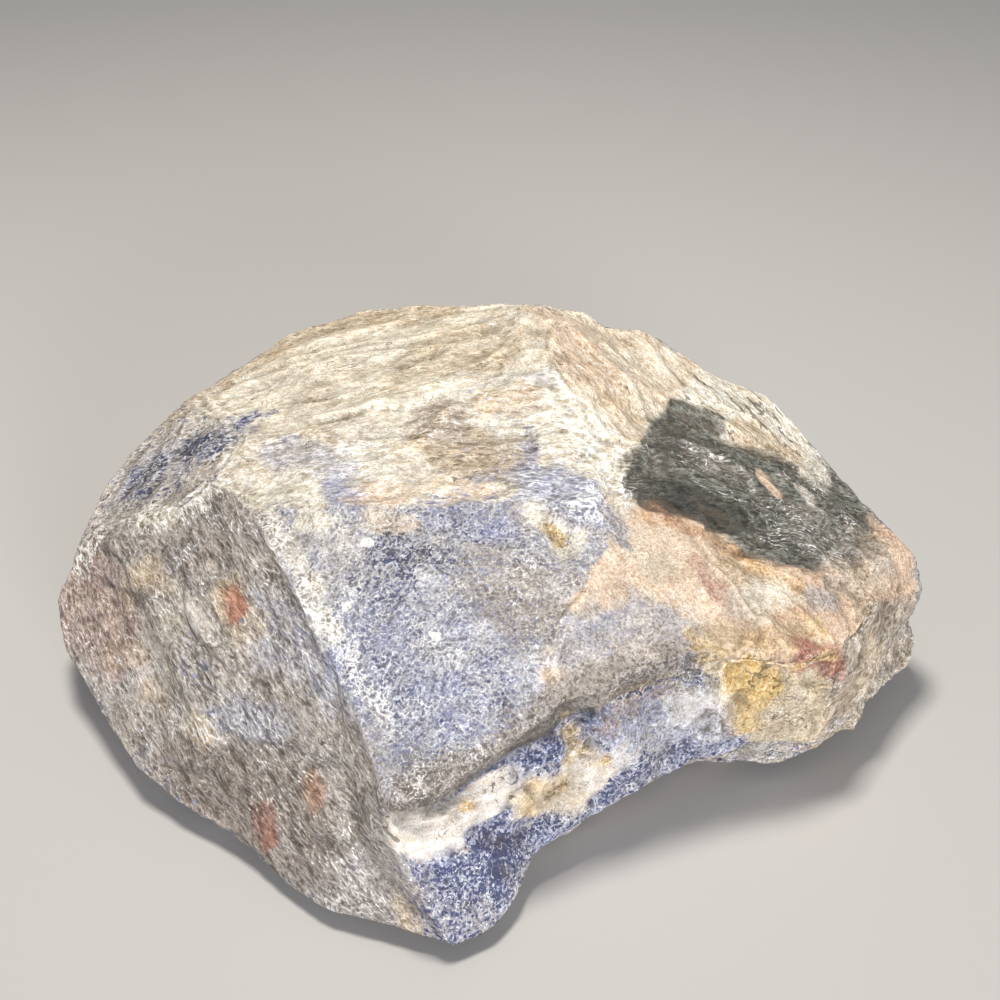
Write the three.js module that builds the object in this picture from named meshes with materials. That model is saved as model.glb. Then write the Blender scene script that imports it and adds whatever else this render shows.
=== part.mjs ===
// Rough sodalite: one broken block of sodalite syenite, millimetres, +Z up.
// The origin is under the middle of the stone, on the surface that it rests on.
//
// The block is a polyhedron of broken faces, given by the corners where they meet. A net of rays from
// the heart of the stone is cast onto those faces, its hard edges are worn a little, and each kind of
// face then gets the relief of its own break: lumps, hollow scars, and chips that run with the grain.
import * as THREE from 'three';

const netCells = 28;        // cells along each side of the six patches of the net
const evenRounds = 12;      // rounds of averaging that even out the cells of the net
const edgeReach = 0.5;      // a sharp edge draws in the net from this share of a cell
const edgeWear = 0.25;      // how far a broken edge is worn towards its neighbours
const borderBlend = 0.5;    // how far two reliefs run into each other at their border
const heart = [-2, -5, 36];   // every face of the block is in sight from here
const seat = [2, 3, 0];     // moves the finished stone so that the origin is under its middle
const netSpread = [119, 92, 50];   // half length, half depth and half height that even out the net
const netLift = 0.22;       // turns the rays up, so that the net is finer on top
const stepWidth = 2.5;      // a one-sided mark ends in a step this wide (mm)

// Corners of the broken faces, grouped by the edge that they lie on.
const corners = {
  // widest outline from above, clockwise from the left tip
  rim: [
    [-121, 6, 24], [-118, 22, 31], [-112, 38, 41], [-105, 45, 47], [-90, 56, 60], [-77, 70, 63],
    [-61, 81, 69], [-40, 83, 74], [-22, 82, 78], [9, 72, 83], [28, 69, 82], [33, 67, 79],
    [44, 68, 77], [54, 63, 73], [63, 56, 69], [79, 50, 65], [87, 41, 60], [96, 31, 54],
    [104, 21, 48], [116, 7, 40], [118, 0, 33], [112, -9, 30], [100, -28, 24], [90, -38, 18],
    [82, -41, 13], [74, -42, 17], [61, -43, 16], [45, -51, 15], [26, -63, 12], [11, -73, 10],
    [9, -79, 7], [3, -92, 5], [-7, -98, 4], [-18, -94, 5], [-38, -87, 5], [-59, -68, 6],
    [-76, -55, 8], [-91, -45, 11], [-103, -28, 14], [-116, -9, 19],
  ],
  // sharp edge between the left face and the blue face, from the top down to the toe
  ridge: [
    [-73, 5, 64], [-61, -7, 63], [-46, -33, 56], [-35, -52, 47], [-27, -68, 40], [-23, -81, 35],
    [-17, -91, 21], [-10, -97, 9],
  ],
  streak: [[-106, 17, 40], [-89, 8, 51]],
  // edge between the back of the stone and the top band
  brow: [[-74, 34, 66], [-67, 19, 69], [-43, 15, 75], [-24, 20, 79], [-14, 24, 81], [2, 25, 84]],
  crest: [[9, 41, 87], [16, 55, 86], [16, 26, 86], [4, 42, 84]],
  back: [[-26, 53, 77]],
  east: [[33, 29, 79], [22, 18, 82], [28, 6, 76], [40, 8, 72]],
  // outline and inner step of the dark slab
  dark: [
    [48, 30, 72], [41, 16, 73], [30, -6, 69], [40, -4, 69], [53, -3, 66], [65, -6, 61], [41, -7, 64],
    [53, -9, 60], [63, -14, 56], [76, -18, 53], [92, -14, 46], [100, 3, 46], [63, 23, 67],
    [78, 23, 62],
  ],
  crease: [[53, -18, 59], [60, -28, 54], [64, -41, 48]],
  fold: [[27, -31, 65], [19, -46, 60], [13, -58, 55]],
  // top and front borders of the blue face: the hem above, the overhanging lip below
  hem: [[-38, -12, 69], [-15, -16, 71], [12, -16, 72], [27, -17, 70]],
  band: [[-26, 0, 75], [6, 3, 78], [20, -1, 77]],
  lip: [
    [-20, -84, 38], [-10, -82, 39], [-2, -76, 42], [6, -71, 45], [16, -65, 49], [27, -59, 50],
    [39, -54, 52], [49, -49, 52],
  ],
  sill: [
    [-22, -83, 33], [-11, -80, 34], [-4, -74, 35], [6, -68, 38], [16, -63, 41], [26, -60, 44],
    [37, -55, 47], [49, -51, 48],
  ],
  // ochre corner at the right front
  shelf: [[59, -48, 49], [71, -46, 45], [84, -39, 42], [59, -48, 44], [72, -45, 38]],
  end: [[100, -17, 41], [88, -35, 42], [85, -43, 34]],
  flank: [[-82, -14, 42], [-72, -33, 35], [-75, -45, 21], [-48, -58, 33], [-37, -77, 22]],
  blue: [[-3, -39, 62], [-21, -58, 50]],
  cliff: [[0, -78, 23], [-9, -89, 18]],
};

// Each face: its kind, how far its middle swells (mm, minus is hollow), and its corners in order.
const facets = [
  ['shoulder', 1.2, 'rim1 rim2 rim3 rim4 brow0 brow1 ridge0 streak1 streak0'],
  ['left', 0.2, 'rim0 rim1 streak0 streak1 flank0 flank1 flank2 rim38 rim39'],
  ['left', -0.5, 'streak1 ridge0 ridge1 ridge2 ridge3 flank3 flank1 flank0'],
  ['left', 0.4, 'flank1 flank3 flank4 rim35 rim36 rim37 rim38 flank2'],
  ['left', 2, 'ridge3 ridge4 ridge5 ridge6 ridge7 rim32 rim33 rim34 rim35 flank4 flank3'],
  ['blue', 1.1, 'ridge1 hem0 hem1 blue0 blue1 ridge3 ridge2'],
  ['blue', 0.5, 'hem1 hem2 hem3 fold0 fold1 fold2 blue0'],
  ['blue', 2, 'blue1 blue0 fold2 lip4 lip3 lip2 lip1 lip0 ridge5 ridge4 ridge3'],
  ['band', 1.9, 'brow1 brow2 band0 hem1 hem0 ridge1 ridge0'],
  ['band', 1.7, 'brow2 brow3 brow4 brow5 band1 hem1 band0'],
  ['band', 1, 'brow5 crest2 east1 band2 band1'],
  ['band', 0.5, 'band1 band2 hem2 hem1'],
  ['band', 1.5, 'band2 east1 east2 east3 dark2 hem3 hem2'],
  ['back', 0.6, 'brow0 rim4 rim5 rim6 rim7 back0 brow3 brow2 brow1'],
  ['back', 0, 'rim7 rim8 rim9 crest3 brow5 brow4 brow3 back0'],
  ['crest', 2.3, 'crest3 rim9 crest1 crest0'],
  ['crest', 1, 'crest3 crest0 crest1 crest2 brow5'],
  ['east', 0, 'rim9 rim10 rim11 east0 east1 crest2 crest1'],
  ['east', 0.2, 'rim11 rim12 rim13 rim14 dark0 east0'],
  ['east', -0.2, 'east0 dark0 dark1 east3 east2 east1'],
  ['dark', 1.1, 'dark0 dark12 dark5 dark4 dark3 dark2 east3 dark1'],
  ['dark', -0.8, 'dark2 dark3 dark4 dark5 dark8 dark7 dark6'],
  ['dark', 1.2, 'dark12 dark13 rim17 rim18 dark11 dark10 dark9 dark8 dark5'],
  ['eastRim', 1.4, 'rim14 rim15 rim16 rim17 dark13 dark12 dark0'],
  ['bowl', 1.6,
    'hem3 dark2 dark6 dark7 crease0 crease1 crease2 shelf0 lip7 lip6 lip5 lip4 fold2 fold1 fold0'],
  ['slope', 2.2, 'crease0 dark7 dark8 dark9 dark10 end0 end1 shelf2 shelf1 shelf0 crease2 crease1'],
  ['slope', 2, 'dark11 rim18 rim19 rim20 end0 dark10'],
  ['end', 1.5, 'rim20 rim21 rim22 rim23 rim24 end2 end1 end0'],
  ['ochre', 0, 'lip7 shelf0 shelf3 sill7'],
  ['ochre', 0, 'shelf0 shelf1 shelf4 shelf3'],
  ['ochre', 0, 'shelf1 shelf2 end1 end2 shelf4'],
  ['ochre', 1.1, 'sill7 shelf3 shelf4 end2 rim24 rim25 rim26'],
  ['cliff', 0, 'sill6 sill7 rim26 rim27'],
  ['cliff', 0.1, 'ridge5 sill0 sill1 sill2 cliff0 cliff1 ridge6'],
  ['cliff', 0.5, 'sill2 sill3 sill4 rim28 rim29 cliff0'],
  ['cliff', 2.5, 'sill4 sill5 sill6 rim27 rim28'],
  ['toe', 1.9, 'cliff0 rim29 rim30 rim31 rim32 ridge7 ridge6 cliff1'],
  ['recess', 0, 'ridge5 lip0 sill0'],
];
for (let i = 0; i < corners.lip.length - 1; i++) {
  facets.push(['recess', 0, `lip${i} lip${i + 1} sill${i + 1} sill${i}`]);
}

const rimLoop = [...corners.rim, corners.rim[0]];

// Edges sharp enough to show as a clean line, each a run of corners.
const sharpEdges = [
  corners.ridge,
  [...corners.lip, ...corners.shelf.slice(0, 3)],
  corners.sill,
  rimLoop,
  [...corners.brow, corners.crest[3]],
];

// The sides below the rim bulge under the high back and draw in under the low front, down to the
// foot: the small flat spot that the stone rests on.
const belly = { turnHeight: 40, bulge: 0.3, mostDrawnIn: -9, height: 0.32 };
const foot = { centre: [-10, -3], half: [56, 44], ringHeight: -2, middleHeight: -3 };

// Relief of each kind of face: the way its grain runs, how much longer its marks are that way,
// and the size of its flakes, lumps, hollow scars and chips (mm).
const reliefs = {
  left: { grain: [0.43, -0.85, -0.3], long: 4, flake: 0.6, lump: 0.9, scar: 0.8, chip: 0.9 },
  shoulder: { grain: [0.71, 0.52, 0.48], long: 2.5, flake: 1.5, lump: 1.2, scar: 1.6, chip: 1.2 },
  back: { grain: [0.97, 0.1, 0.2], long: 4, flake: 1.2, lump: 0.9, scar: 1.2, chip: 1.4 },
  crest: { grain: [0.3, 0.9, 0.1], long: 2, flake: 0.5, lump: 0.9, scar: 1.2, chip: 0.8 },
  band: { grain: [0.98, 0.09, 0.15], long: 2.5, flake: 0.8, lump: 1.4, scar: 1.7, chip: 1 },
  blue: { grain: [0.6, -0.7, -0.2], long: 1.5, flake: 0.4, lump: 1, scar: 1, chip: 0.6 },
  east: { grain: [0.5, -0.84, -0.21], long: 3.5, flake: 1.2, lump: 1.3, scar: 1.4, chip: 0.6 },
  eastRim: { grain: [0.7, -0.6, -0.3], long: 2, flake: 1, lump: 1, scar: 1.2, chip: 0.7 },
  dark: { grain: [0.87, -0.32, -0.37], long: 2.5, flake: 1.2, lump: 1.3, scar: 1.6, chip: 1.4 },
  bowl: { grain: [0.67, 0.74, 0.12], long: 2, flake: 0.3, lump: 0.8, scar: 0.7, chip: 0.4 },
  slope: { grain: [0.91, -0.23, -0.33], long: 2, flake: 1, lump: 1.2, scar: 1.6, chip: 1.1 },
  end: { grain: [-0.57, -0.76, -0.31], long: 4, flake: 2, lump: 1.2, scar: 1.4, chip: 1.5 },
  ochre: { grain: [0.2, -0.2, 0.95], long: 1.5, flake: 1, lump: 1.2, scar: 1.6, chip: 1.5 },
  cliff: { grain: [0.8, 0.5, 0.2], long: 1.5, flake: 1.5, lump: 1.3, scar: 1.8, chip: 1.4 },
  toe: { grain: [0.5, 0.5, 0.3], long: 1.3, flake: 1, lump: 0.9, scar: 1, chip: 0.7 },
  recess: { grain: [0.8, 0.5, 0.2], long: 2, flake: 0, lump: 0.6, scar: 0.6, chip: 0.5 },
  wall: { grain: [0.2, 0.1, 0.95], long: 1.6, flake: 9, lump: 2.6, scar: 3, chip: 2.2 },
  under: { grain: [0.8, 0.3, 0.1], long: 2, flake: 4, lump: 1.2, scar: 1.6, chip: 1 },
};
const kinds = Object.keys(reliefs);
const spacing = { flake: 44, lump: 24, scar: 17, chip: 13 };
const seed = { flake: 31, lump: 1, scar: 11, chip: 21 };
const flakeSink = 0.3;      // flakes lie this share of their height deeper, inside the outline
const rimCalm = { width: 7, share: 0.6 };   // relief is weaker close to the rim, which keeps its outline

// Single marks, each along its own line: half width and rise in mm, minus is a cut. One with a side
// stands on that side of its line alone and ends there in a step.
const upLeft = [0.25, 0.68, 0.68];   // up the slope of the left face
const marks = [
  { name: 'bench', width: 4.5, rise: 1.5,
    line: [[-102, 11, 41], [-90, -8, 39], [-79, -27, 34], [-70, -48, 24]] },
  { name: 'ridgeSpine', width: 3, rise: 0.9,
    line: [[-61, -7, 63], [-46, -33, 56], [-35, -52, 47], [-23, -81, 35]] },
  { name: 'browLedge', width: 3.5, rise: 1.1,
    line: [[-51, 19, 72], [-30, 21, 78], [-14, 26, 81], [2, 39, 84]] },
  { name: 'cleft', width: 3.6, rise: -3.2, line: [[19, -63, 46], [22, -64, 34], [20, -67, 28]] },
  { name: 'rightCrack', width: 3, rise: -1.6, line: [[30, -59, 38], [37, -55, 40], [47, -52, 42]] },
  { name: 'underShelf', width: 3, rise: -1.8,
    line: [[51, -50, 46], [60, -49, 45], [74, -45, 39], [83, -41, 37]] },
  { name: 'cornerCrack', width: 3, rise: -1.4, line: [[60, -47, 43], [64, -48, 26]] },
  { name: 'eastRib', width: 3.5, rise: 1.2, line: [[22, 57, 82], [40, 27, 76]] },
  { name: 'eastFurrow', width: 3.5, rise: -1.2, line: [[30, 65, 81], [48, 40, 75]] },
  { name: 'bandScoop', width: 9, rise: -1.5, line: [[-16, -6, 74], [2, 3, 78]] },
  { name: 'bluePit', width: 4.5, rise: -1.3, line: [[13, -20, 71], [19, -28, 68]] },
  { name: 'endLayer', width: 3.2, rise: -1.3, line: [[109, -5, 38], [81, -43, 25]] },
  { name: 'leftStep', width: 9, rise: 1.2, side: upLeft,
    line: [[-114, 14, 30], [-100, -1, 34], [-91, -10, 38], [-83, -15, 41], [-73, -29, 39], [-65, -38, 37]] },
  { name: 'leftStepUpper', width: 6, rise: 0.9, side: upLeft,
    line: [[-82, -6, 46], [-70, -24, 44], [-64, -32, 41]] },
  { name: 'leftStepShort', width: 4, rise: 0.7, side: upLeft, line: [[-67, -19, 48], [-58, -27, 48]] },
  { name: 'leftStepLow', width: 7, rise: 1.1, side: upLeft,
    line: [[-71, -53, 17], [-61, -51, 27], [-48, -58, 31], [-38, -64, 31]] },
  { name: 'backLayer', width: 8, rise: 1.1, side: [0, -1, 0.3],
    line: [[-76, 53, 64], [-55, 55, 71], [-32, 55, 76], [-12, 50, 80]] },
  { name: 'backLayerFront', width: 6, rise: 0.8, side: [0, -1, 0.3],
    line: [[-75, 38, 66], [-54, 39, 71], [-31, 37, 76], [-15, 41, 79]] },
  { name: 'eastCrease', width: 6, rise: 1.1, side: [0.6, 0.7, 0.4],
    line: [[17, 21, 84], [23, 17, 80], [29, 8, 75], [40, 8, 71]] },
  { name: 'eastLayer', width: 6, rise: 1, side: [0.4, 0.9, 0.2],
    line: [[43, 34, 73], [54, 31, 69], [64, 26, 67]] },
  { name: 'slabLip', width: 6, rise: 1.1, side: [0.2, 0.8, 0.5],
    line: [[43, 13, 71], [51, 14, 69], [61, 14, 65], [66, 11, 63], [71, 1, 60]] },
  { name: 'slabStep', width: 5, rise: 1.1, side: [0.3, 0.9, 0.3],
    line: [[66, 26, 67], [76, 21, 62], [86, 20, 58]] },
  { name: 'bowlRib', width: 5, rise: 1.1, side: [0.9, 0.3, 0.4],
    line: [[50, -10, 60], [55, -22, 58], [63, -31, 53], [67, -40, 50]] },
  { name: 'foldStep', width: 5, rise: 0.8, side: [0.8, 0.3, 0.5],
    line: [[23, -40, 61], [17, -48, 59], [12, -55, 56]] },
  { name: 'ochreBlock', width: 4, rise: 1.2, side: [0.5, 0, 0.8],
    line: [[58, -45, 45], [60, -46, 37], [68, -45, 36], [73, -44, 36]] },
  { name: 'undercut', width: 5, rise: 1.3, side: [0, -0.3, 1],
    line: [[31, -57, 37], [37, -53, 37], [45, -49, 41], [51, -48, 44]] },
  { name: 'arcStep', width: 5, rise: 1, side: [1, 0, 0.3],
    line: [[45, -49, 40], [54, -46, 32], [58, -46, 27], [61, -45, 23]] },
  { name: 'slopeStep', width: 5, rise: 0.9, side: [0.9, 0.2, 0.3],
    line: [[84, -12, 51], [91, -19, 43], [92, -29, 38]] },
  { name: 'endStep', width: 6, rise: 1.2, side: [0.9, -0.2, 0.2],
    line: [[98, -14, 42], [99, -24, 32], [92, -33, 20]] },
  { name: 'wallStepUpper', width: 12, rise: 2.6, side: [0, 0, 1],
    line: [[-84, 62, 40], [-46, 84, 50], [-4, 82, 47], [40, 72, 52], [66, 56, 44]] },
  { name: 'wallStepLow', width: 10, rise: 2.2, side: [0, 0, 1],
    line: [[-64, 66, 20], [-16, 74, 26], [34, 64, 20], [78, 44, 27], [104, 18, 20]] },
  { name: 'wallCut', width: 7, rise: -2.4, line: [[12, 80, 76], [4, 84, 52], [18, 76, 24]] },
  { name: 'wallCutLeft', width: 6, rise: -2, line: [[-84, 64, 56], [-78, 66, 34], [-60, 62, 16]] },
];

const add = (a, b) => a.map((v, i) => v + b[i]);
const sub = (a, b) => a.map((v, i) => v - b[i]);
const scale = (a, k) => a.map((v) => v * k);
const dot = (a, b) => a[0] * b[0] + a[1] * b[1] + a[2] * b[2];
const cross = (a, b) => [
  a[1] * b[2] - a[2] * b[1], a[2] * b[0] - a[0] * b[2], a[0] * b[1] - a[1] * b[0],
];
const unit = (a) => scale(a, 1 / Math.hypot(...a));
const mean = (points) => scale(points.reduce(add), 1 / points.length);

// A whole-number place and a seed stirred into an even random value from 0 to 1.
function random(x, y, z, seed) {
  let h = Math.imul(x, 0x8da6b343) ^ Math.imul(y, 0xd8163841) ^ Math.imul(z, 0xcb1ab31f);
  h ^= Math.imul(seed, 0x9e3779b1);
  h = Math.imul(h ^ (h >>> 15), 0x2c1b3c6d);
  h = Math.imul(h ^ (h >>> 12), 0x297a2d39);
  return ((h ^ (h >>> 15)) >>> 0) / 2 ** 32;
}

// Smooth noise from -1 to 1: random values at whole-number places, eased from one to the next.
function noise(p, seed) {
  const base = p.map(Math.floor);
  const ease = p.map((v, k) => {
    const f = v - base[k];
    return f * f * f * (f * (f * 6 - 15) + 10);
  });
  let sum = 0;
  for (let corner = 0; corner < 8; corner++) {
    const step = [corner & 1, (corner >> 1) & 1, corner >> 2];
    const weight = step.reduce((w, s, k) => w * (s ? ease[k] : 1 - ease[k]), 1);
    sum += weight * random(...add(base, step), seed);
  }
  return sum * 2 - 1;
}

// Three layers of noise, each about twice as fine and half as strong as the last, and moved aside
// so that the layers don't line up.
function lumps(p, seed) {
  const layers = [
    { strength: 1, fine: 1, aside: 0 },
    { strength: 0.5, fine: 2.03, aside: 17.3 },
    { strength: 0.25, fine: 4.12, aside: 34.6 },
  ];
  const total = layers.reduce((sum, { strength }) => sum + strength, 0);
  return layers.reduce((sum, { strength, fine, aside }, i) => (
    sum + (strength / total) * noise(p.map((v) => v * fine + aside), seed + i)
  ), 0);
}

// The nearest of the points strewn one to a cell: how far off it is, and the way back from it.
function nearest(p, seed) {
  const base = p.map(Math.floor);
  let best = { square: Infinity };
  for (let x = -1; x <= 1; x++) {
    for (let y = -1; y <= 1; y++) {
      for (let z = -1; z <= 1; z++) {
        const cell = add(base, [x, y, z]);
        const away = cell.map((v, k) => p[k] - v - random(...cell, seed + k));
        const square = dot(away, away);
        if (square < best.square) best = { square, away, cell };
      }
    }
  }
  return best;
}

// Hollow scars: a bowl round each strewn point, with a sharp edge where two bowls meet.
const scarMean = 0.35;
const scars = (p, seed) => Math.min(nearest(p, seed).square, 1) - scarMean;

// Chips: a small plane round each strewn point, tilted its own way, with a step where two meet.
function chips(p, seed) {
  const { away, cell } = nearest(p, seed);
  const tilt = [3, 4, 5].map((k) => random(...cell, seed + k) * 2 - 1);
  return dot(away, tilt);
}

// The place on a run of straight lines that is closest to p, and how far off it is.
function closestOnLine(p, line) {
  let best = { distance: Infinity };
  for (let i = 0; i < line.length - 1; i++) {
    const along = sub(line[i + 1], line[i]);
    const share = THREE.MathUtils.clamp(dot(sub(p, line[i]), along) / dot(along, along), 0, 1);
    const place = add(line[i], scale(along, share));
    const distance = Math.hypot(...sub(p, place));
    if (distance < best.distance) best = { distance, place };
  }
  return best;
}

// Marks: a bank or furrow whose height falls off as a bell curve from its line, and only beyond
// the line where it has a side.
function markHeight(p) {
  return marks.reduce((sum, { width, rise, line, side }) => {
    const { distance, place } = closestOnLine(p, line);
    const past = side ? dot(sub(p, place), unit(side)) / stepWidth : Infinity;
    const share = THREE.MathUtils.clamp(0.5 + past, 0, 1);
    return sum + rise * share * Math.exp(-((distance / width) ** 2));
  }, 0);
}

// Triangles of the block: a fan round the swollen middle of each face, then the sides and the foot.
function blockTriangles() {
  const place = {};
  for (const [edge, list] of Object.entries(corners)) {
    list.forEach((corner, i) => { place[edge + i] = corner; });
  }
  const triangles = [];
  for (const [kind, swell, names] of facets) {
    const ring = names.split(' ').map((name) => place[name]);
    if (ring.length === 3) {
      triangles.push([kind, ring]);
      continue;
    }
    const middle = mean(ring);
    const sides = ring.map((corner, i) => [corner, ring[(i + 1) % ring.length]]);
    const turns = sides.map(([a, b]) => cross(sub(a, middle), sub(b, middle)));
    let out = unit(turns.reduce(add));
    if (dot(out, sub(middle, heart)) < 0) out = scale(out, -1);
    const hub = add(middle, scale(out, swell));
    for (const side of sides) triangles.push([kind, [hub, ...side]]);
  }
  const outward = corners.rim.map(([x, y]) => unit([x - heart[0], y - heart[1], 0]));
  const bellyRing = corners.rim.map(([x, y, z], i) => {
    const push = Math.max(belly.bulge * (z - belly.turnHeight), belly.mostDrawnIn);
    return [x + outward[i][0] * push, y + outward[i][1] * push, z * belly.height];
  });
  const footRing = outward.map(([x, y]) => [
    foot.centre[0] + x * foot.half[0], foot.centre[1] + y * foot.half[1], foot.ringHeight,
  ]);
  const footMiddle = [...foot.centre, foot.middleHeight];
  corners.rim.forEach((_, i) => {
    const j = (i + 1) % corners.rim.length;
    for (const [kind, upper, lower] of [['wall', corners.rim, bellyRing], ['under', bellyRing, footRing]]) {
      triangles.push([kind, [upper[i], upper[j], lower[j]]]);
      triangles.push([kind, [upper[i], lower[j], lower[i]]]);
    }
    triangles.push(['under', [footRing[i], footRing[j], footMiddle]]);
  });
  return triangles;
}

// The net: every whole-number place on the skin of a cube, and the square cells between them.
function cubeNet(cells) {
  const index = new Map();
  const places = [];
  const quads = [];
  const vertex = (place) => {
    const key = place.join();
    if (!index.has(key)) {
      index.set(key, places.length);
      places.push(place);
    }
    return index.get(key);
  };
  for (let axis = 0; axis < 3; axis++) {
    for (const side of [0, cells]) {
      const at = (a, b) => {
        const place = [0, 0, 0];
        place[axis] = side;
        place[(axis + 1) % 3] = a;
        place[(axis + 2) % 3] = b;
        return vertex(place);
      };
      for (let a = 0; a < cells; a++) {
        for (let b = 0; b < cells; b++) {
          const quad = [at(a, b), at(a + 1, b), at(a + 1, b + 1), at(a, b + 1)];
          quads.push(side ? quad : quad.reverse());
        }
      }
    }
  }
  // the tangent keeps the cells even in angle
  const rays = places.map((place) => {
    const even = unit(place.map((v) => Math.tan((Math.PI / 4) * ((2 * v) / cells - 1))));
    return unit([even[0] * netSpread[0], even[1] * netSpread[1], (even[2] + netLift) * netSpread[2]]);
  });
  return { rays, quads };
}

// A ray is a mix of the three corners of the face that it meets, with no share below nothing, and
// it meets that face at one over the sum of the shares.
function castRays(rays) {
  const faces = blockTriangles().map(([kind, triangle]) => {
    const [a, b, c] = triangle.map((corner) => sub(corner, heart));
    const volume = dot(a, cross(b, c));
    return { kind, shares: [cross(b, c), cross(c, a), cross(a, b)].map((v) => scale(v, 1 / volume)) };
  });
  return rays.map((ray) => {
    let reach = 0;
    let kind = 'wall';
    for (const face of faces) {
      const shares = face.shares.map((row) => dot(row, ray));
      const distance = 1 / (shares[0] + shares[1] + shares[2]);
      if (Math.min(...shares) >= -1e-9 && distance > reach) {
        reach = distance;
        kind = face.kind;
      }
    }
    return { point: add(heart, scale(ray, reach)), kind };
  });
}

// The neighbours of each place of the net, along the sides of its cells.
function netNeighbours(count, quads) {
  const neighbours = Array.from({ length: count }, () => []);
  for (const quad of quads) quad.forEach((v, i) => neighbours[v].push(quad[(i + 1) % 4]));
  return neighbours;
}

// Each value moves a share of the way to the mean of its neighbours.
function average(values, neighbours, share, rounds = 1) {
  let result = values;
  for (let round = 0; round < rounds; round++) {
    const last = result;
    result = last.map((value, i) => {
      const middle = mean(neighbours[i].map((n) => last[n]));
      return add(scale(value, 1 - share), scale(middle, share));
    });
  }
  return result;
}

// A place of the net that lies within reach of a sharp edge moves onto it.
function drawToEdges(points, neighbours) {
  return points.map((p, i) => {
    const sides = neighbours[i].map((n) => Math.hypot(...sub(points[n], p)));
    const cell = sides.reduce((sum, side) => sum + side) / sides.length;
    const closest = sharpEdges.map((line) => closestOnLine(p, line))
      .reduce((a, b) => (b.distance < a.distance ? b : a));
    const onEdge = closest.distance < edgeReach * cell;
    return { point: onEdge ? closest.place : p, onEdge };
  });
}

// Each cell is parted along a sharp edge where one runs through it, and otherwise the short way.
function cellTriangles([a, b, c, d], points, onEdge) {
  const length = (i, j) => Math.hypot(...sub(points[i], points[j]));
  const edgeAC = onEdge[a] && onEdge[c];
  const edgeBD = onEdge[b] && onEdge[d];
  const partBD = edgeBD === edgeAC ? !edgeAC && length(b, d) < length(a, c) : edgeBD;
  return partBD ? [b, c, d, b, d, a] : [a, b, c, a, c, d];
}

function outwardNormals(points, quads) {
  const normals = points.map(() => [0, 0, 0]);
  for (const quad of quads) {
    const [a, b, c, d] = quad.map((v) => points[v]);
    const out = cross(sub(c, a), sub(d, b));
    for (const v of quad) normals[v] = add(normals[v], out);
  }
  return normals.map(unit);
}

// Height of the relief at a place, from the shares that the kinds of face have in it.
function reliefHeight(p, shares) {
  const blend = (pick) => kinds.reduce((sum, kind, i) => sum + shares[i] * pick(reliefs[kind]), 0);
  const grain = unit(kinds.map((kind, i) => scale(unit(reliefs[kind].grain), shares[i])).reduce(add));
  // squeezed along the grain, so that the marks run long that way
  const squeezed = sub(p, scale(grain, dot(p, grain) * (1 - 1 / blend((r) => r.long))));
  const height = blend((r) => r.flake) * (scars(scale(p, 1 / spacing.flake), seed.flake) - flakeSink)
    + blend((r) => r.lump) * lumps(scale(p, 1 / spacing.lump), seed.lump)
    + blend((r) => r.scar) * scars(scale(squeezed, 1 / spacing.scar), seed.scar)
    + blend((r) => r.chip) * chips(scale(squeezed, 1 / spacing.chip), seed.chip)
    + markHeight(p);
  const rimDistance = closestOnLine(p, rimLoop).distance;
  return height * (1 - rimCalm.share * Math.exp(-((rimDistance / rimCalm.width) ** 2)));
}

function stoneGeometry() {
  const { rays, quads } = cubeNet(netCells);
  const neighbours = netNeighbours(rays.length, quads);
  const rough = average(castRays(rays).map((hit) => hit.point), neighbours, 0.5, evenRounds);
  const cast = castRays(rough.map((p) => unit(sub(p, heart))));
  const drawn = drawToEdges(cast.map((hit) => hit.point), neighbours);
  const onEdge = drawn.map((place) => place.onEdge);
  const worn = average(drawn.map((place) => place.point), neighbours, edgeWear);
  const members = cast.map((hit) => kinds.map((kind) => Number(kind === hit.kind)));
  const shares = average(members, neighbours, borderBlend);
  const normals = outwardNormals(worn, quads);
  const points = worn.map((p, i) => {
    const [x, y, z] = add(p, scale(normals[i], reliefHeight(p, shares[i])));
    return [x, y, Math.max(z, 0)];   // the flat spot lies in the surface that it rests on
  });
  const geometry = new THREE.BufferGeometry();
  geometry.setAttribute('position', new THREE.Float32BufferAttribute(points.flat(), 3));
  geometry.setIndex(quads.flatMap((quad) => cellTriangles(quad, points, onEdge)));
  geometry.translate(...seat);
  geometry.computeVertexNormals();
  return geometry;
}

const greyBlueStone = new THREE.MeshStandardMaterial({ color: '#8d8a94', roughness: 0.85, metalness: 0 });
const stone = new THREE.Mesh(stoneGeometry(), greyBlueStone);
stone.name = 'sodalite_rough';

const part = new THREE.Group();
part.add(stone);
export default part;
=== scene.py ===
import math

import bpy
import numpy as np
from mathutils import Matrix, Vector


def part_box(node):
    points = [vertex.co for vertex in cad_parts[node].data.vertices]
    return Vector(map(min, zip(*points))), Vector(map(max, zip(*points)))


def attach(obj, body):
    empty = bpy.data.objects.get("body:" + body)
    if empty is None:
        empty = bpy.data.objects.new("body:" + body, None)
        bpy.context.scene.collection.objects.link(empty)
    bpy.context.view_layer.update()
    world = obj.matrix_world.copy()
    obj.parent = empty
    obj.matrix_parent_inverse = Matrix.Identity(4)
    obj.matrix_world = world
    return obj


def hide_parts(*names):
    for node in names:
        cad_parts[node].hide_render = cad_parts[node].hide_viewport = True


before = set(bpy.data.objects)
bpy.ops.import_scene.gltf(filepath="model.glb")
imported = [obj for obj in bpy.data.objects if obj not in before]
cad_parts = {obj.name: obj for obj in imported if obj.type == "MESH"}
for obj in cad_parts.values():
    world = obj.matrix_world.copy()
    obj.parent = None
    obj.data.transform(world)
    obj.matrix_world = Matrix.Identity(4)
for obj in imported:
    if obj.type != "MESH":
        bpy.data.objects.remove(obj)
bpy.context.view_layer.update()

mm = 0.001
tiny = 1e-9     # leeway for rounding

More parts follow.
